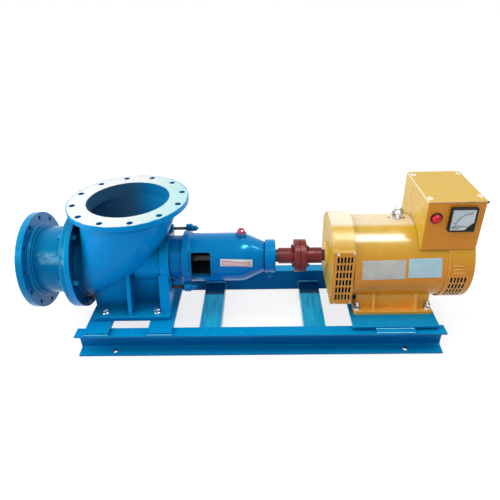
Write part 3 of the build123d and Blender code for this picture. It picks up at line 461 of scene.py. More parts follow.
def bracket_finish():
    """Glossy blue enamel, painted black inside the open lantern as painted shade."""
    f = paint("bracket_blue_enamel", BRACKET_BLUE, 0.18, cast=0.00010, round_off=0.004, spec=0.26, hollow_shade=0.7)
    x, y, z = f.axes()
    # Painted shade: black inside the open lantern.
    f.stain(f.all_of(f.span(f.from_shaft(y, z), 0.0745, 0.0735), f.span(x, -0.165, -0.168)), DARK, 0.5)
    return enamel(f)


def yellow_finish(name, hollow=None, rough=0.24, glare=None):
    """Yellow enamel, with painted shade where hollow gives a mask from the coordinates, and a painted
    highlight that whitens it above a height.
    """
    f = paint(name, YELLOW, rough, peel=0.00005, round_off=0.004, coat=0.08, spec=0.30)
    x, y, z = f.axes()
    if glare:
        # Painted highlight above the glare height.
        f.stain(f.span(z, *glare, 0.0, 0.85), GLARE_WHITE)
    if hollow:
        # Painted shade inside the hollow parts.
        f.stain(hollow(f, x, y, z), DARK, 0.6)
    return enamel(f)


# Masks of the insides of the drive bell, the grille slots and the rear bell, which the yellow finishes darken
# as painted shade.
def in_bell(f, x, y, z):
    deep = f.span(f.math("ABSOLUTE", y), 0.1497, 0.1494)
    ends = f.all_of(f.span(x, 0.2775, 0.2785), f.span(z, 0.1775, 0.1780))
    return f.all_of(deep, ends, f.span(f.from_shaft(y, z), 0.166, 0.165))


def in_grille(f, x, y, z):
    deep = f.span(f.math("ABSOLUTE", y), 0.1538, 0.1535)
    wide = f.all_of(f.span(x, 0.2815, 0.2820), f.span(x, 0.3435, 0.3430))
    return f.all_of(deep, wide, f.span(z, 0.190, 0.191), f.span(z, 0.394, 0.393))


def in_rear_bell(f, x, y, z):
    long = f.all_of(f.span(x, 0.7702, 0.7698), f.span(x, 0.6805, 0.6810))
    return f.all_of(f.span(f.from_shaft(y, z), 0.1614, 0.1608), long)


def drum_finish():
    """Yellow enamel, paler on the foot and its wall as painted light, whitened on top as a painted highlight,
    dark at both ends of the drum.
    """
    f = paint("drum_yellow_enamel", YELLOW, 0.24, peel=0.00005, round_off=0.0025, coat=0.1, spec=0.30)
    x, y, z = f.axes()
    # Painted light: the foot and its wall are paler.
    f.stain(f.all_of(f.span(f.from_shaft(y, z), 0.1580, 0.1590), f.span(z, 0.235, 0.225)), LIT_FOOT_YELLOW)
    # Painted highlight: the top of the drum is whitened.
    f.stain(f.span(z, 0.4475, 0.4545, 0.0, 0.6), GLARE_WHITE)
    f.stain(f.math("MAXIMUM", f.span(x, 0.3512, 0.3506), f.span(x, 0.6888, 0.6894)), DARK, 0.6)
    return enamel(f)


def box_finish():
    """Yellow enamel, with a painted highlight round the lid's rim, dark in the lip on the drum and in the
    seam under the lid.
    """
    f = paint("box_yellow_enamel", YELLOW, 0.27, peel=0.00005, round_off=0.004, coat=0.08, spec=0.30)
    x, y, z = f.axes()
    # Painted highlight along the lid's left and front rims.
    front_rim = f.math("MULTIPLY", f.span(y, -0.1318, -0.1330), 0.25)
    rim = f.math("MAXIMUM", f.span(x, 0.5772, 0.5758), front_rim)
    patchy = f.span(f.noise(24.0, 4.0, 0.7), 0.30, 0.55, 0.55, 1.0)
    f.stain(f.all_of(rim, f.span(z, 0.5811, 0.5816), patchy), LIT_RIM_CREAM)
    lip = f.span(f.from_shaft(y, z), 0.1598, 0.1592)
    seam = f.all_of(f.span(z, 0.5790, 0.5796), f.span(z, 0.5816, 0.5811), f.span(x, 0.5745, 0.5755))
    f.stain(f.math("MAXIMUM", lip, f.math("MULTIPLY", seam, 0.6)), DARK)
    return enamel(f)


def metal(name, colour, dull, rough, scale=90.0, stretch=None, scratch=0.00003):
    f = Finish(name)
    f.edges(0.0008)
    f.set(
        Base_Color=f.mix(f.span(f.noise(scale, 5.0, 0.6, stretch), 0.35, 0.7), colour, dull),
        Roughness=f.span(f.noise(scale * 0.6, 4.0), 0.3, 0.75, rough * 0.7, rough * 1.5),
        Metallic=1.0,
    )
    f.bump(f.noise(scale * 6.0, 2.0, 0.5, stretch), scratch)
    return f.done()


def plain(name, colour, dull, rough, scale=40.0, grain=0.0, coat=0.0, spec=0.5, **more):
    """Plastic, rubber, print or primer."""
    f = Finish(name)
    f.edges(0.0012)
    f.set(
        Base_Color=f.mix(f.span(f.noise(scale, 4.0, 0.6), 0.35, 0.7), colour, dull),
        Roughness=f.span(f.noise(scale * 1.7, 4.0), 0.3, 0.75, rough * 0.8, rough * 1.25),
        Coat_Weight=coat,
        Specular_IOR_Level=spec,
        **more,
    )
    if grain:
        f.bump(f.noise(500.0, 3.0, 0.6), grain)
    return f.done()


def label_finish():
    """White plate with a plain red line round it."""
    f = Finish("label_white_red_line")
    x, _, z = f.axes()
    from_middle = f.math("SUBTRACT", x, LABEL_MIDDLE[0])
    level = f.math("ADD", z, f.math("MULTIPLY", from_middle, LABEL_SLOPE))
    dx = f.math("ABSOLUTE", from_middle)
    dz = f.math("ABSOLUTE", f.math("SUBTRACT", level, LABEL_MIDDLE[1]))
    out = f.math("MAXIMUM", f.math("SUBTRACT", dx, LABEL_HALF[0]), f.math("SUBTRACT", dz, LABEL_HALF[1]))
    line = f.all_of(f.span(out, -0.0030, -0.0026), f.span(out, 0.0006, 0.0002))
    white = f.mix(f.span(f.noise(40.0, 4.0), 0.35, 0.7), LABEL_WHITE, LABEL_DULL)
    panel = f.mix(f.span(out, -0.0026, -0.0032), white, LABEL_PINK)
    f.set(Base_Color=f.mix(line, panel, LABEL_RED), Roughness=0.38)
    return f.done()


# Welds in a paler blue than the skid, as a painted highlight on their lumps.
weld_glint_blue = enamel(paint("weld_glint_blue_enamel", WELD_GLINT_BLUE, 0.16, cast=0.0002, spec=0.5))
cast_blue = enamel(
    paint("cast_blue_enamel", BLUE, 0.20, cast=0.00035, round_off=0.004, spec=0.40, hollow_shade=0.85)
)
cover_blue = enamel(
    paint("cover_blue_enamel", BRACKET_BLUE, 0.20, cast=0.00016, round_off=0.004, spec=0.26, hollow_shade=0.6)
)
bracket_blue = bracket_finish()
tie_blue = tie_finish()
skid_blue = skid_finish()
yellow = yellow_finish("generator_yellow_enamel")
grille_yellow = yellow_finish("grille_yellow_enamel", in_grille)
# Paler yellow for the lid dimples, as a painted highlight round the lid screws.
bright_yellow = enamel(paint("glint_yellow_enamel", GLINT_CREAM, 0.22, coat=0.2))
cap_yellow = enamel(paint("cap_yellow_enamel", CAP_YELLOW, 0.3, round_off=0.003, coat=0.1))
box_yellow = box_finish()

zinc = metal("zinc_plate", (0.64, 0.66, 0.67), (0.36, 0.38, 0.39), 0.24)
dull_zinc = metal("dull_zinc_plate", (0.50, 0.51, 0.51), (0.28, 0.29, 0.30), 0.28)
steel = metal("oiled_steel", (0.055, 0.055, 0.060), (0.03, 0.03, 0.032), 0.34, 60.0, (12.0, 1.0, 1.0))
bronze = metal("cast_bronze", (0.62, 0.40, 0.17), (0.38, 0.24, 0.10), 0.42, 70.0, scratch=0.0002)
dull_bronze = metal("greasy_bronze", (0.10, 0.075, 0.045), (0.04, 0.03, 0.02), 0.50, 70.0, scratch=0.0002)
black_steel = metal("blacked_steel", (0.05, 0.05, 0.055), (0.02, 0.02, 0.022), 0.45)

primer = plain(
    "coupling_primer_gloss", (0.21, 0.026, 0.027), (0.15, 0.018, 0.019), 0.30, 50.0,
    grain=0.0001, spec=0.38, Specular_Tint=(1.0, 0.55, 0.55),
)
rubber = plain("black_rubber_skin", (0.018, 0.018, 0.018), (0.03, 0.03, 0.03), 0.75, 60.0, grain=0.0002)
fan_black = plain("fan_black_skin", (0.012, 0.012, 0.013), (0.02, 0.02, 0.02), 0.6, 60.0, grain=0.0001)
meter_black = plain(
    "meter_black_case", (0.006, 0.007, 0.008), (0.010, 0.011, 0.013), 0.50, 80.0, grain=0.00008, spec=0.22,
)
dial_white = plain("dial_white_face", (0.80, 0.94, 0.98), (0.72, 0.88, 0.94), 0.5, 30.0)
mark_black = plain("mark_black_print", (0.03, 0.035, 0.04), (0.05, 0.055, 0.06), 0.6, 60.0)
lamp_red = plain("lamp_red_lens", (0.66, 0.008, 0.022), (0.56, 0.006, 0.016), 0.24, 30.0, spec=0.30)
cap_red = plain("cap_red_gloss", (0.70, 0.085, 0.13), (0.58, 0.05, 0.09), 0.30, 60.0, grain=0.00008, coat=0.4)
plate_grey = plain(
    "plate_grey_foil", (0.56, 0.57, 0.54), (0.47, 0.48, 0.45), 0.34, 25.0, grain=0.00003, coat=0.3,
)
plate_blue = plain(
    "plate_blue_foil", (0.46, 0.68, 0.77), (0.36, 0.60, 0.72), 0.36, 25.0, grain=0.00003, coat=0.3,
)
clear = plain("meter_clear_front", (0.02, 0.02, 0.02), (0.03, 0.03, 0.03), 0.06, 30.0, Alpha=0.04)
rim_pale = plain("meter_pale_rim", (0.80, 0.88, 0.90), (0.74, 0.83, 0.86), 0.35, 30.0)

NODE_FINISH = {
    "left_tie": tie_blue,
    "right_tie": tie_blue,
    "bend_casing": casing_finish(),
    "runner_chamber": chamber_finish(),
    "bearing_bracket": bracket_blue,
    "bearing_cover": cover_blue,
    "packing_gland": dull_bronze,
    "oil_cap": cap_red,
    "turbine_shaft": steel,
    "generator_shaft": steel,
    "runner": bronze,
    "turbine_coupling": primer,
    "generator_coupling": primer,
    "coupling_buffer": rubber,
    "cooling_fan": fan_black,
    "stator_frame": drum_finish(),
    "drive_bell": yellow_finish("bell_yellow_enamel", in_bell, 0.42, (0.456, 0.466)),
    "front_grille": grille_yellow,
    "rear_grille": grille_yellow,
    "bearing_cap": cap_yellow,
    "rear_bell": yellow_finish("rear_bell_yellow_enamel", in_rear_bell),
    "rear_cover": yellow,
    "terminal_box": box_yellow,
    "box_lid": box_yellow,
    "lifting_eye": dull_zinc,
    "indicator_lamp": lamp_red,
    "meter_frame": meter_black,
    "meter_dial": dial_white,
}
for name, node in nodes.items():
    node.data.materials.clear()
    node.data.materials.append(NODE_FINISH.get(name, skid_blue))


# Mesh helpers, with sizes in millimetres
def piece(name, bm, finish, body="unit", sharp=32.0):
    bmesh.ops.remove_doubles(bm, verts=bm.verts, dist=0.0005)
    bmesh.ops.recalc_face_normals(bm, faces=bm.faces)
    bmesh.ops.scale(bm, vec=(MM, MM, MM), verts=bm.verts)
    mesh = bpy.data.meshes.new(name)
    bm.to_mesh(mesh)
    bm.free()
    mesh.polygons.foreach_set("use_smooth", [True] * len(mesh.polygons))
    mesh.set_sharp_from_angle(angle=math.radians(sharp))
    mesh.materials.append(finish)
    made = bpy.data.objects.new(name, mesh)
    scene.collection.objects.link(made)
    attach(made, body)


def sheet(bm, rows, closed=True):
    """Faces between rows of points; a row of one point is a tip, and closed rows join end to start."""
    for low, high in zip(rows, rows[1:]):
        count = max(len(low), len(high))
        for i in range(count if closed else count - 1):
            j = (i + 1) % count
            corners = [low[i % len(low)], low[j % len(low)], high[j % len(high)], high[i % len(high)]]
            bm.faces.new(list(dict.fromkeys(corners)))


def stand(at, axis):
    """Matrix that takes the local z axis to an axis at a point."""
    return Matrix.Translation(Vector(at)) @ Vector(axis).to_track_quat("Z", "Y").to_matrix().to_4x4()


def lathe(bm, profile, at, axis, count=32, turn=0.0):
    """Turns (radius, height) points round an axis; a radius of 0 closes an end."""
    place = stand(at, axis)
    rings = []
    for r, h in profile:
        ring = []
        for k in range(count if r else 1):
            a = turn + 2 * math.pi * k / count
            ring.append(bm.verts.new(place @ Vector((r * math.cos(a), r * math.sin(a), h))))
        rings.append(ring)
    sheet(bm, rings)


def hexagon(bm, across, low, high, at, axis, turn=0.0):
    r = across / math.sqrt(3)
    c = across * CHAMFER
    profile = [(0, low), (r - c, low), (r, low + c), (r, high - c), (r - 1.8 * c, high), (0, high)]
    lathe(bm, profile, at, axis, 6, turn)


def washer(bm, r, t, at, axis):
    lathe(bm, [(0, 0), (r, 0), (r, t * 0.6), (r - t * 0.4, t), (0, t)], at, axis, 28)


def bolt_head(bm, across, at, axis, turn):
    """Washer and hexagon head with a turned pad on top."""
    t = across * WASHER_T
    top = t + across * HEAD_H
    pad = t + across * PAD_H
    washer(bm, across * WASHER_R, t, at, axis)
    hexagon(bm, across, t, top, at, axis, turn)
    lathe(bm, [(across * 0.40, top), (across * 0.36, pad), (0, pad)], at, axis, 24)


def thread(bm, r, low, high, at, axis, pitch=2.0):
    profile = [(0, low), (r * 0.86, low)]
    h = low
    while h + pitch <= high:
        profile += [(r, h + pitch * 0.35), (r, h + pitch * 0.5), (r * 0.87, h + pitch)]
        h += pitch
    profile += [(r * 0.8, high), (0, high)]
    lathe(bm, profile, at, axis, 20)


def nut(bm, across, at, axis, turn, rod, proud):
    """Washer, nut and the end of a threaded rod that stands proud of it."""
    t = across * WASHER_T
    top = t + across * NUT_H
    washer(bm, across * WASHER_R, t, at, axis)
    hexagon(bm, across, t, top, at, axis, turn)
    thread(bm, rod, t + across * 0.7, top + proud, at, axis)


def screw(bm, r, at, axis, turn):
    """Pan head screw with a cut slot, shown as two half domes."""
    place = stand(at, axis) @ Matrix.Rotation(turn, 4, "Z")
    for side in SIDES:
        rows = []
        for h, k in DOME:
            row = []
            for i in range(HALF_TURN_STEPS + 1):
                a = math.pi * i / HALF_TURN_STEPS
                aside = SLOT_HALF * r + r * (k - SLOT_HALF) * math.sin(a)
                row.append(bm.verts.new(place @ Vector((r * k * math.cos(a), side * aside, r * h))))
            rows.append(row)
        sheet(bm, rows)
        for end in (rows[-1], rows[0]):
            bm.faces.new(end)
    lathe(bm, [(0, 0), (r * 0.95, 0), (r * 0.95, r * 0.3), (0, r * 0.3)], at, axis, 20)


def polar(x, r, count, start):
    """Points on a circle square to the shaft, with their angles."""
    for k in range(count):
        a = math.radians(start + 360.0 * k / count)
        yield (x, r * math.cos(a), SHAFT_Z + r * math.sin(a)), a


def on_circle(r, a):
    """The height of a circle round the shaft at a distance from its middle."""
    return math.sqrt(r ** 2 - a ** 2)


def skin(name):
    mesh = nodes[name].data
    return BVHTree.FromPolygons([v.co for v in mesh.vertices], [p.vertices for p in mesh.polygons])


def on_front(tree, x, z):
    """Point where a line from the front meets a node."""
    hit, _, _, _ = tree.ray_cast(Vector((x * MM, -2.0, z * MM)), Vector((0, 1, 0)))
    return hit / MM


def from_eye(tree, ends, s, t):
    """Point and normal where the line from the camera through a place between four ends meets a node."""
    flat = ends[0].lerp(ends[1], s).lerp(ends[3].lerp(ends[2], s), t) * MM
    hit, normal, _, _ = tree.ray_cast(EYE, (flat - EYE).normalized())
    return hit / MM, (normal if normal.y < 0 else -normal)


def stuck_plate(name, on, corners, thick, finish):
    """Thin plate between (x, z) corners, its ends cut to the corners and its skin on the node."""
    tree = skin(on)
    ends = [on_front(tree, x, z) for x, z in corners]
    across, up = PLATE_STEPS
    bm = bmesh.new()
    rims = []
    for lift in (PLATE_SINK, thick):
        grid = []
        for j in range(up + 1):
            spots = [from_eye(tree, ends, i / across, j / up) for i in range(across + 1)]
            grid.append([bm.verts.new(at + normal * lift) for at, normal in spots])
        sheet(bm, grid, closed=False)
        right_side = [row[-1] for row in grid[1:]]
        left_side = [row[0] for row in grid[-2:0:-1]]
        rims.append(grid[0] + right_side + grid[-1][-2::-1] + left_side)
    sheet(bm, rims)
    piece(name, bm, finish)


def oblong(x0, z0, x1, z1):
    return [(x0, z0), (x1, z0), (x1, z1), (x0, z1)]


def slab(bm, outline, y0, y1):
    """Flat plate facing the front, from (x, z) corners."""
    near, back = ([bm.verts.new((x, y, z)) for x, z in outline] for y in (y0, y1))
    bm.faces.new(near)
    bm.faces.new(back)
    sheet(bm, [near, back])


def spoke(bm, low, high, angle, width, y0, y1):
    """Straight mark between two radii of the meter's scale."""
    a = math.radians(angle)
    along = Vector((math.cos(a), math.sin(a)))
    aside = Vector((-math.sin(a), math.cos(a))) * width / 2
    inner = Vector(PIVOT) + along * low
    outer = Vector(PIVOT) + along * high
    slab(bm, [tuple(v) for v in (inner - aside, outer - aside, outer + aside, inner + aside)], y0, y1)


def ridge(bm, start, end, out, width, height):
    """Long rounded swelling on a surface."""
    start, end, out = Vector(start), Vector(end), Vector(out).normalized()
    aside = (end - start).normalized().cross(out)
    rows = []
    for i in range(17):
        t = i / 16
        full = max(0.05, math.sqrt(max(0.0, 1 - (2 * t - 1) ** 6)))
        row = []
        for j in range(9):
            b = math.pi * j / 8
            lift = out * (height * full * math.sin(b) - 0.4)
            row.append(bm.verts.new(start.lerp(end, t) + aside * (width / 2 * full * math.cos(b)) + lift))
        rows.append(row)
    sheet(bm, rows)
    bm.faces.new(rows[0])
    bm.faces.new(rows[-1])


def bead(bm, points, r, closed=False):
    """Weld bead along points, in overlapping scales."""
    points = [Vector(p) for p in points]
    rings = []
    for i, at in enumerate(points):
        before = points[i - 1] if i or closed else at
        after = points[(i + 1) % len(points)] if closed or i + 1 < len(points) else at
        ahead = (after - before).normalized()
        steep = abs(ahead.z) > 0.9
        u = ahead.orthogonal().normalized() if steep else ahead.cross(Z_AXIS).normalized()
        v = ahead.cross(u)
        size = r * (0.78 + 0.22 * (i % 3) / 2 + 0.18 * chance.random())
        off = (u * chance.uniform(-0.1, 0.1) + v * chance.uniform(-0.1, 0.1)) * r
        ring = []
        for k in range(BEAD_SIDES):
            q = 2 * math.pi * k / BEAD_SIDES
            ring.append(bm.verts.new(at + off + (u * math.cos(q) + v * math.sin(q)) * size))
        rings.append(ring)
    sheet(bm, rings + rings[:1] if closed else rings)
    if not closed:
        bm.faces.new(rings[0])
        bm.faces.new(rings[-1])


def straight_bead(bm, start, end, r, step=2.6):
    start, end = Vector(start), Vector(end)
    count = max(2, int((end - start).length / step))
    bead(bm, [start.lerp(end, k / count) for k in range(count + 1)], r)


def level_bead(bm, run, side, line, r):
    """Bead along X between two ends, on a (y, z) line at one side of the skid."""
    y, z = line
    straight_bead(bm, (run[0], side * y, z), (run[1], side * y, z), r)


# Bolts and studs
bm = bmesh.new()
for x in CASING_BOLT_X:
    for side in SIDES:
        bolt_head(bm, 22, (x, side * CASING_BOLT_Y, CASING_FOOT_TOP), Z_AXIS, 0.3 + x * 0.01)
piece("casing_foot_bolts", bm, zinc)

bm = bmesh.new()
for x in GENERATOR_STUD_X:
    for side in SIDES:
        y = side * GENERATOR_STUD_Y
        washer(bm, 14, 2.5, (x, y, GENERATOR_FOOT_TOP), Z_AXIS)
        nut(bm, 21, (x, y, GENERATOR_FOOT_TOP + 2), Z_AXIS, 0.2 + x * 0.01, 6.0, 12.0)
piece("generator_foot_studs", bm, zinc)

bm = bmesh.new()
for at, a in polar(JOINT_FACE_CASING, JOINT_BOLT_R, JOINT_BOLTS, 0):
    bolt_head(bm, 20, at, X_AXIS, a)
for at, a in polar(JOINT_FACE_CHAMBER, JOINT_BOLT_R, JOINT_BOLTS, 0):
    nut(bm, 20, at, -X_AXIS, a + 0.4, 7.5, 5.0)
piece("joint_flange_bolts", bm, cast_blue)

bm = bmesh.new()
for at, _ in polar(TIE_STUD_X, LUG_R, LUGS, LUG_ANGLE):
    thread(bm, 6.5, -1, 53, at, X_AXIS, 2.5)
piece("bracket_tie_studs", bm, black_steel)
bm = bmesh.new()
for at, a in polar(LUG_FACE_BRACKET, LUG_R, LUGS, LUG_ANGLE):
    nut(bm, 20, at, X_AXIS, a, 6.5, 6.0)
for at, a in polar(LUG_FACE_CASING, LUG_R, LUGS, LUG_ANGLE):
    nut(bm, 20, at, -X_AXIS, a + 0.2, 6.5, 4.0)
piece("bracket_tie_nuts", bm, bracket_blue)

bm = bmesh.new()
for side in SIDES:
    for x in GRILLE_SCREW_X:
        for z in GRILLE_SCREW_Z:
            screw(bm, 4.8, (x, side * GRILLE_FACE_Y, z), (0, side, 0), x + z)
piece("grille_screws", bm, zinc)

bm = bmesh.new()
for at in LID_SCREWS:
    lathe(bm, [(12.5, 0), (11.5, 1.2), (9.0, 2.2), (5.6, 1.4), (0, 1.4)], (*at, LID_TOP), Z_AXIS)
piece("lid_dimples", bm, bright_yellow)
bm = bmesh.new()
for at in LID_SCREWS:
    screw(bm, 4.6, (*at, LID_TOP + 1), Z_AXIS, at[0])
piece("lid_screws", bm, zinc)

# Blank plates
stuck_plate("blank_plate_grey", "stator_frame", GREY_PLATE, 0.7, plate_grey)
stuck_plate("blank_plate_blue", "stator_frame", BLUE_PLATE, 0.7, plate_blue)
stuck_plate("blank_plate_bracket", "bearing_bracket", BRACKET_PLATE, 0.8, label_finish())

# Welds of the skid, of the pads and plates on it, and of the chamber's flanges
bm = bmesh.new()
for side in SIDES:
    for run in (*PAD_RUNS, SPACER_RUN):
        level_bead(bm, run, side, PAD_WELD, 3.4)
    level_bead(bm, SPACER_RUN, side, PLATE_WELD, 3.0)
    for x in TIE_X:
        level_bead(bm, (x - TIE_WELD_REACH, x + TIE_WELD_REACH), side, TIE_WELD, 3.2)
        for edge in (x - TIE_WELD_EDGE, x + TIE_WELD_EDGE):
            y = side * TIE_WELD[0]
            straight_bead(bm, (edge, y, TIE_WELD_LOW), (edge, y, TIE_WELD_REACH), 2.8)
piece("skid_welds", bm, weld_glint_blue, sharp=60.0)

bm = bmesh.new()
for x, r in CHAMBER_WELDS:
    bead(bm, [at for at, _ in polar(x, r, 300, 0)], 3.6, closed=True)
piece("chamber_welds", bm, cast_blue, sharp=60.0)

# Oil cap grip and wing, and the drain plug under the bearing cover
bm = bmesh.new()
for k in range(14):
    a = 2 * math.pi * k / 14
    at = Vector((OIL_CAP_X + 12.7 * math.cos(a), 12.7 * math.sin(a), 405))
    lathe(bm, [(0, 0), (1.5, 0), (1.5, 11.5), (0.8, 12.5), (0, 12.5)], at, Z_AXIS, 8)
ridge(bm, (OIL_CAP_X - 9, 0, 421), (OIL_CAP_X + 9, 0, 421), Z_AXIS, 5.0, 6.0)
piece("oil_cap_grip", bm, cap_red)
bm = bmesh.new()
lathe(bm, [(0, 0), (8.5, 0), (8.5, 20), (7.5, 21), (0, 21)], DRAIN_PLUG, -Z_AXIS, 24)
hexagon(bm, 13, 21, 29, DRAIN_PLUG, -Z_AXIS)
piece("drain_plug", bm, cover_blue)

# Coupling bolts and set screws, which turn with the shaft line
bm = bmesh.new()
for at, a in polar(COUPLING_FACE_TURBINE, COUPLING_BOLT_R, COUPLING_BOLTS, COUPLING_ANGLE):
    bolt_head(bm, 11, at, -X_AXIS, a)
for at, a in polar(COUPLING_FACE_GENERATOR, COUPLING_BOLT_R, COUPLING_BOLTS, COUPLING_ANGLE):
    nut(bm, 11, at, X_AXIS, a + 0.3, 3.2, 2.5)
piece("coupling_bolts", bm, black_steel, "rotor")
bm = bmesh.new()
for x in SET_SCREW_X:
    at = (x, HUB_R * SET_SCREW_WAY[1], SHAFT_Z + HUB_R * SET_SCREW_WAY[2])
    socket = [(0, -2), (4.2, -2), (4.2, 1.4), (3.6, 1.8), (2.3, 1.8), (2.3, 0.4), (0, 0.4)]
    lathe(bm, socket, at, SET_SCREW_WAY, 20)
piece("coupling_set_screws", bm, black_steel, "rotor")

# Drum, bells and box
bm = bmesh.new()
for x, y in DRUM_PLUGS:
    at = (x, y, SHAFT_Z + on_circle(DRUM_R, y))
    lathe(bm, [(0, -1), (3.4, -1), (3.4, 1.6), (2.6, 2.2), (0, 2.2)], at, Z_AXIS, 18)
piece("drum_plugs", bm, black_steel)
bm = bmesh.new()
for side in SIDES:
    for low, high, z in REAR_RIDGES:
        y = side * on_circle(REAR_BELL_R, z - SHAFT_Z)
        ridge(bm, (low, y, z), (high, y, z), (0, y, z - SHAFT_Z), 6.5, 2.0)
piece("rear_bell_ridges", bm, yellow)
bm = bmesh.new()
for at in BOX_DIMPLES:
    lathe(bm, [(6.0, -0.2), (5.2, 1.0), (3.0, 1.7), (0, 1.9)], (BOX_LEFT_X, *at), -X_AXIS, 24)
piece("box_dimples", bm, box_yellow)
bm = bmesh.new()
for at, a in polar(REAR_COVER_X, REAR_SCREW_R, REAR_SCREWS, 22.5):
    screw(bm, 5.0, at, X_AXIS, a)
piece("rear_cover_screws", bm, zinc)
bm = bmesh.new()
for side in SIDES:
    x, y, z = LID_BUFFER
    lathe(bm, [(0, -1), (4.5, -1), (4.5, 4.5), (3.5, 6), (0, 6)], (x, side * y, z), X_AXIS, 20)
piece("lid_buffers", bm, rubber)
bm = bmesh.new()
lathe(bm, [(16.1, 0), (20.5, 0), (20.5, 2.4), (18.5, 4.0), (16.1, 4.0), (16.1, 0)], LAMP, FRONT, 40)
piece("lamp_bezel", bm, meter_black)

# Meter: pale rim, dark corner, scale with a needle, and clear front
dial_left, dial_right = METER[0] - DIAL_HALF, METER[0] + DIAL_HALF
dial_low, dial_high = METER[2] - DIAL_HALF, METER[2] + DIAL_HALF
bm = bmesh.new()
outer, inner = (half * math.sqrt(2) for half in (DIAL_HALF, DIAL_HALF - RIM_W))
rim = [(outer, 0), (outer, 3.0), (inner, 1.6), (inner, 0), (outer, 0)]
lathe(bm, rim, METER, FRONT, 4, math.pi / 4)
piece("meter_rim", bm, rim_pale, sharp=20.0)
bm = bmesh.new()
slab(bm, [(dial_right, dial_low), (dial_right, 510), (709, dial_low)], -141, -145.2)
slab(bm, [(731.5, 485), (731.5, 504), (714, 485)], -145, -146.0)
piece("meter_corner", bm, meter_black)
bm = bmesh.new()
for k in range(SCALE_STEPS + 1):
    reach, width = (53.5, 0.8) if k % SCALE_LONG else (57.5, 1.5)
    a = SCALE_START + SCALE_SWEEP * k / SCALE_STEPS
    spoke(bm, 50.0, reach, a, width, PRINT_BACK, -142.35)
for k in range(SCALE_STEPS):
    a = SCALE_START + SCALE_SWEEP * (k + 0.5) / SCALE_STEPS
    spoke(bm, 49.2, 50.2, a, 2.7, PRINT_BACK, PRINT_FRONT)
for end, z in ((696, 492), (688, 487.5)):
    slab(bm, oblong(662, z, end, z + 1.6), PRINT_BACK, PRINT_FRONT)
spoke(bm, 8, 47, NEEDLE_ANGLE, 1.3, -143.0, -143.6)
piece("meter_marks", bm, mark_black)
bm = bmesh.new()
slab(bm, oblong(dial_left + 0.3, dial_low + 0.3, dial_right - 0.3, dial_high - 0.3), -146.4, -147.2)
for z in (dial_low - 3, dial_high + 3):
    for x in (dial_left - 3, dial_right + 3):
        slab(bm, oblong(x - 1, z - 1, x + 1, z + 1), -147.4, -148.0)
piece("meter_front", bm, clear)

# Camera
right = Vector((math.cos(YAW), math.sin(YAW), 0))
ahead = Vector((-math.sin(YAW) * math.cos(PITCH), math.cos(YAW) * math.cos(PITCH), -math.sin(PITCH)))
above = right.cross(ahead)
tilted_right = math.cos(ROLL) * right - math.sin(ROLL) * above
tilted_up = math.sin(ROLL) * right + math.cos(ROLL) * above
lens = bpy.data.cameras.new("camera")
lens.sensor_width = SENSOR_MM
lens.lens = SENSOR_MM * FOCAL_PX / PHOTO_PX
camera = bpy.data.objects.new("camera", lens)
turned = Matrix((tilted_right, tilted_up, -ahead)).transposed().to_4x4()
camera.matrix_world = Matrix.Translation(EYE) @ turned
scene.collection.objects.link(camera)
scene.camera = camera

# Floor: white to the eye, with the shadow of the set kept on it, and whiter far away
FLOOR_REACH = 12.0
FLOOR_DROP = 0.0006
floor_mesh = bpy.data.meshes.new("floor")
floor_corners = [(x, y, 0) for x, y in oblong(-FLOOR_REACH, -FLOOR_REACH, FLOOR_REACH, FLOOR_REACH)]
floor_mesh.from_pydata(floor_corners, [], [(0, 1, 2, 3)])
floor = bpy.data.objects.new("floor", floor_mesh)
floor.location.z = -FLOOR_DROP
scene.collection.objects.link(floor)

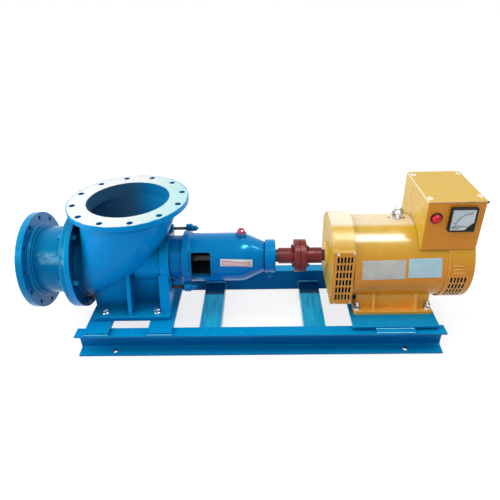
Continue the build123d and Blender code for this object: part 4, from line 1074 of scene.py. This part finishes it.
ground = bpy.data.materials.new("floor_white")
g = Graph(ground)
far = g.node("VectorMath", operation="LENGTH")
g.put(far.inputs[0], g.node("NewGeometry").outputs["Position"])
lift = g.span(far.outputs["Value"], 0.9, 3.0, 0.76, 1.0, "LINEAR")
shown = g.node("AddShader")
g.put(shown.inputs[0], g.shader("BsdfDiffuse", Color=(0.34, 0.34, 0.34)))
g.put(shown.inputs[1], g.shader("Emission", Strength=lift))
lit = g.shader("BsdfDiffuse", Color=(0.82, 0.82, 0.82))
g.put(g.node("OutputMaterial").inputs[0], g.white_to_eye(lit, shown.outputs[0]))
floor_mesh.materials.append(ground)

# World: white to the eye, and a soft light that is stronger from the back and above
world = bpy.data.worlds.new("studio")
scene.world = world
g = Graph(world)
aside = g.node("VectorMath", operation="DOT_PRODUCT")
g.put(aside.inputs[0], g.node("TexCoord").outputs["Generated"])
g.put(aside.inputs[1], (-0.25, 0.75, 0.6))
strength = g.span(aside.outputs["Value"], -0.45, 0.55, 0.12, 0.85)
dim = g.shader("Background", Color=(1.0, 1.0, 1.0), Strength=strength)
white = g.shader("Background", Color=(1.0, 1.0, 1.0))
g.put(g.node("OutputWorld").inputs[0], g.white_to_eye(dim, white))


def soft_box(name, at, aim, size, watts, shine_only=False, spread=180.0):
    """Area lamp; one that is shine_only shows in reflections and lights no surface."""
    lamp = bpy.data.lights.new(name, "AREA")
    lamp.spread = math.radians(spread)
    lamp.shape = "RECTANGLE"
    lamp.size, lamp.size_y = size
    lamp.energy = watts
    holder = bpy.data.objects.new(name, lamp)
    holder.location = at
    holder.rotation_euler = (Vector(aim) - Vector(at)).to_track_quat("-Z", "Y").to_euler()
    holder.visible_diffuse = not shine_only
    scene.collection.objects.link(holder)


soft_box("overhead_box", (0.6, -0.5, 2.5), (0.5, -0.3, 0.3), (1.6, 0.8), 12.0)
soft_box("strip_glow", (1.05, -0.55, 2.5), (1.05, -0.54, 0.3), (0.95, 0.75), 88.0, True)
soft_box("bracket_glow", (1.30, -0.05, 2.35), (-0.04, -0.05, 0.37), (0.70, 0.55), 1.7, True, 16.0)
soft_box("left_glint", (-2.3, -1.5, 1.5), (-0.7, -0.1, 0.3), (0.5, 0.9), 30.0, True)
soft_box("left_box", (-2.6, -0.3, 1.7), (0.0, 0.0, 0.3), (2.0, 1.8), 45.0)
soft_box("front_box", (-0.4, -2.6, 2.8), (0.0, 0.0, 0.2), (4.0, 2.4), 15.0)

scene.view_settings.view_transform = "Standard"
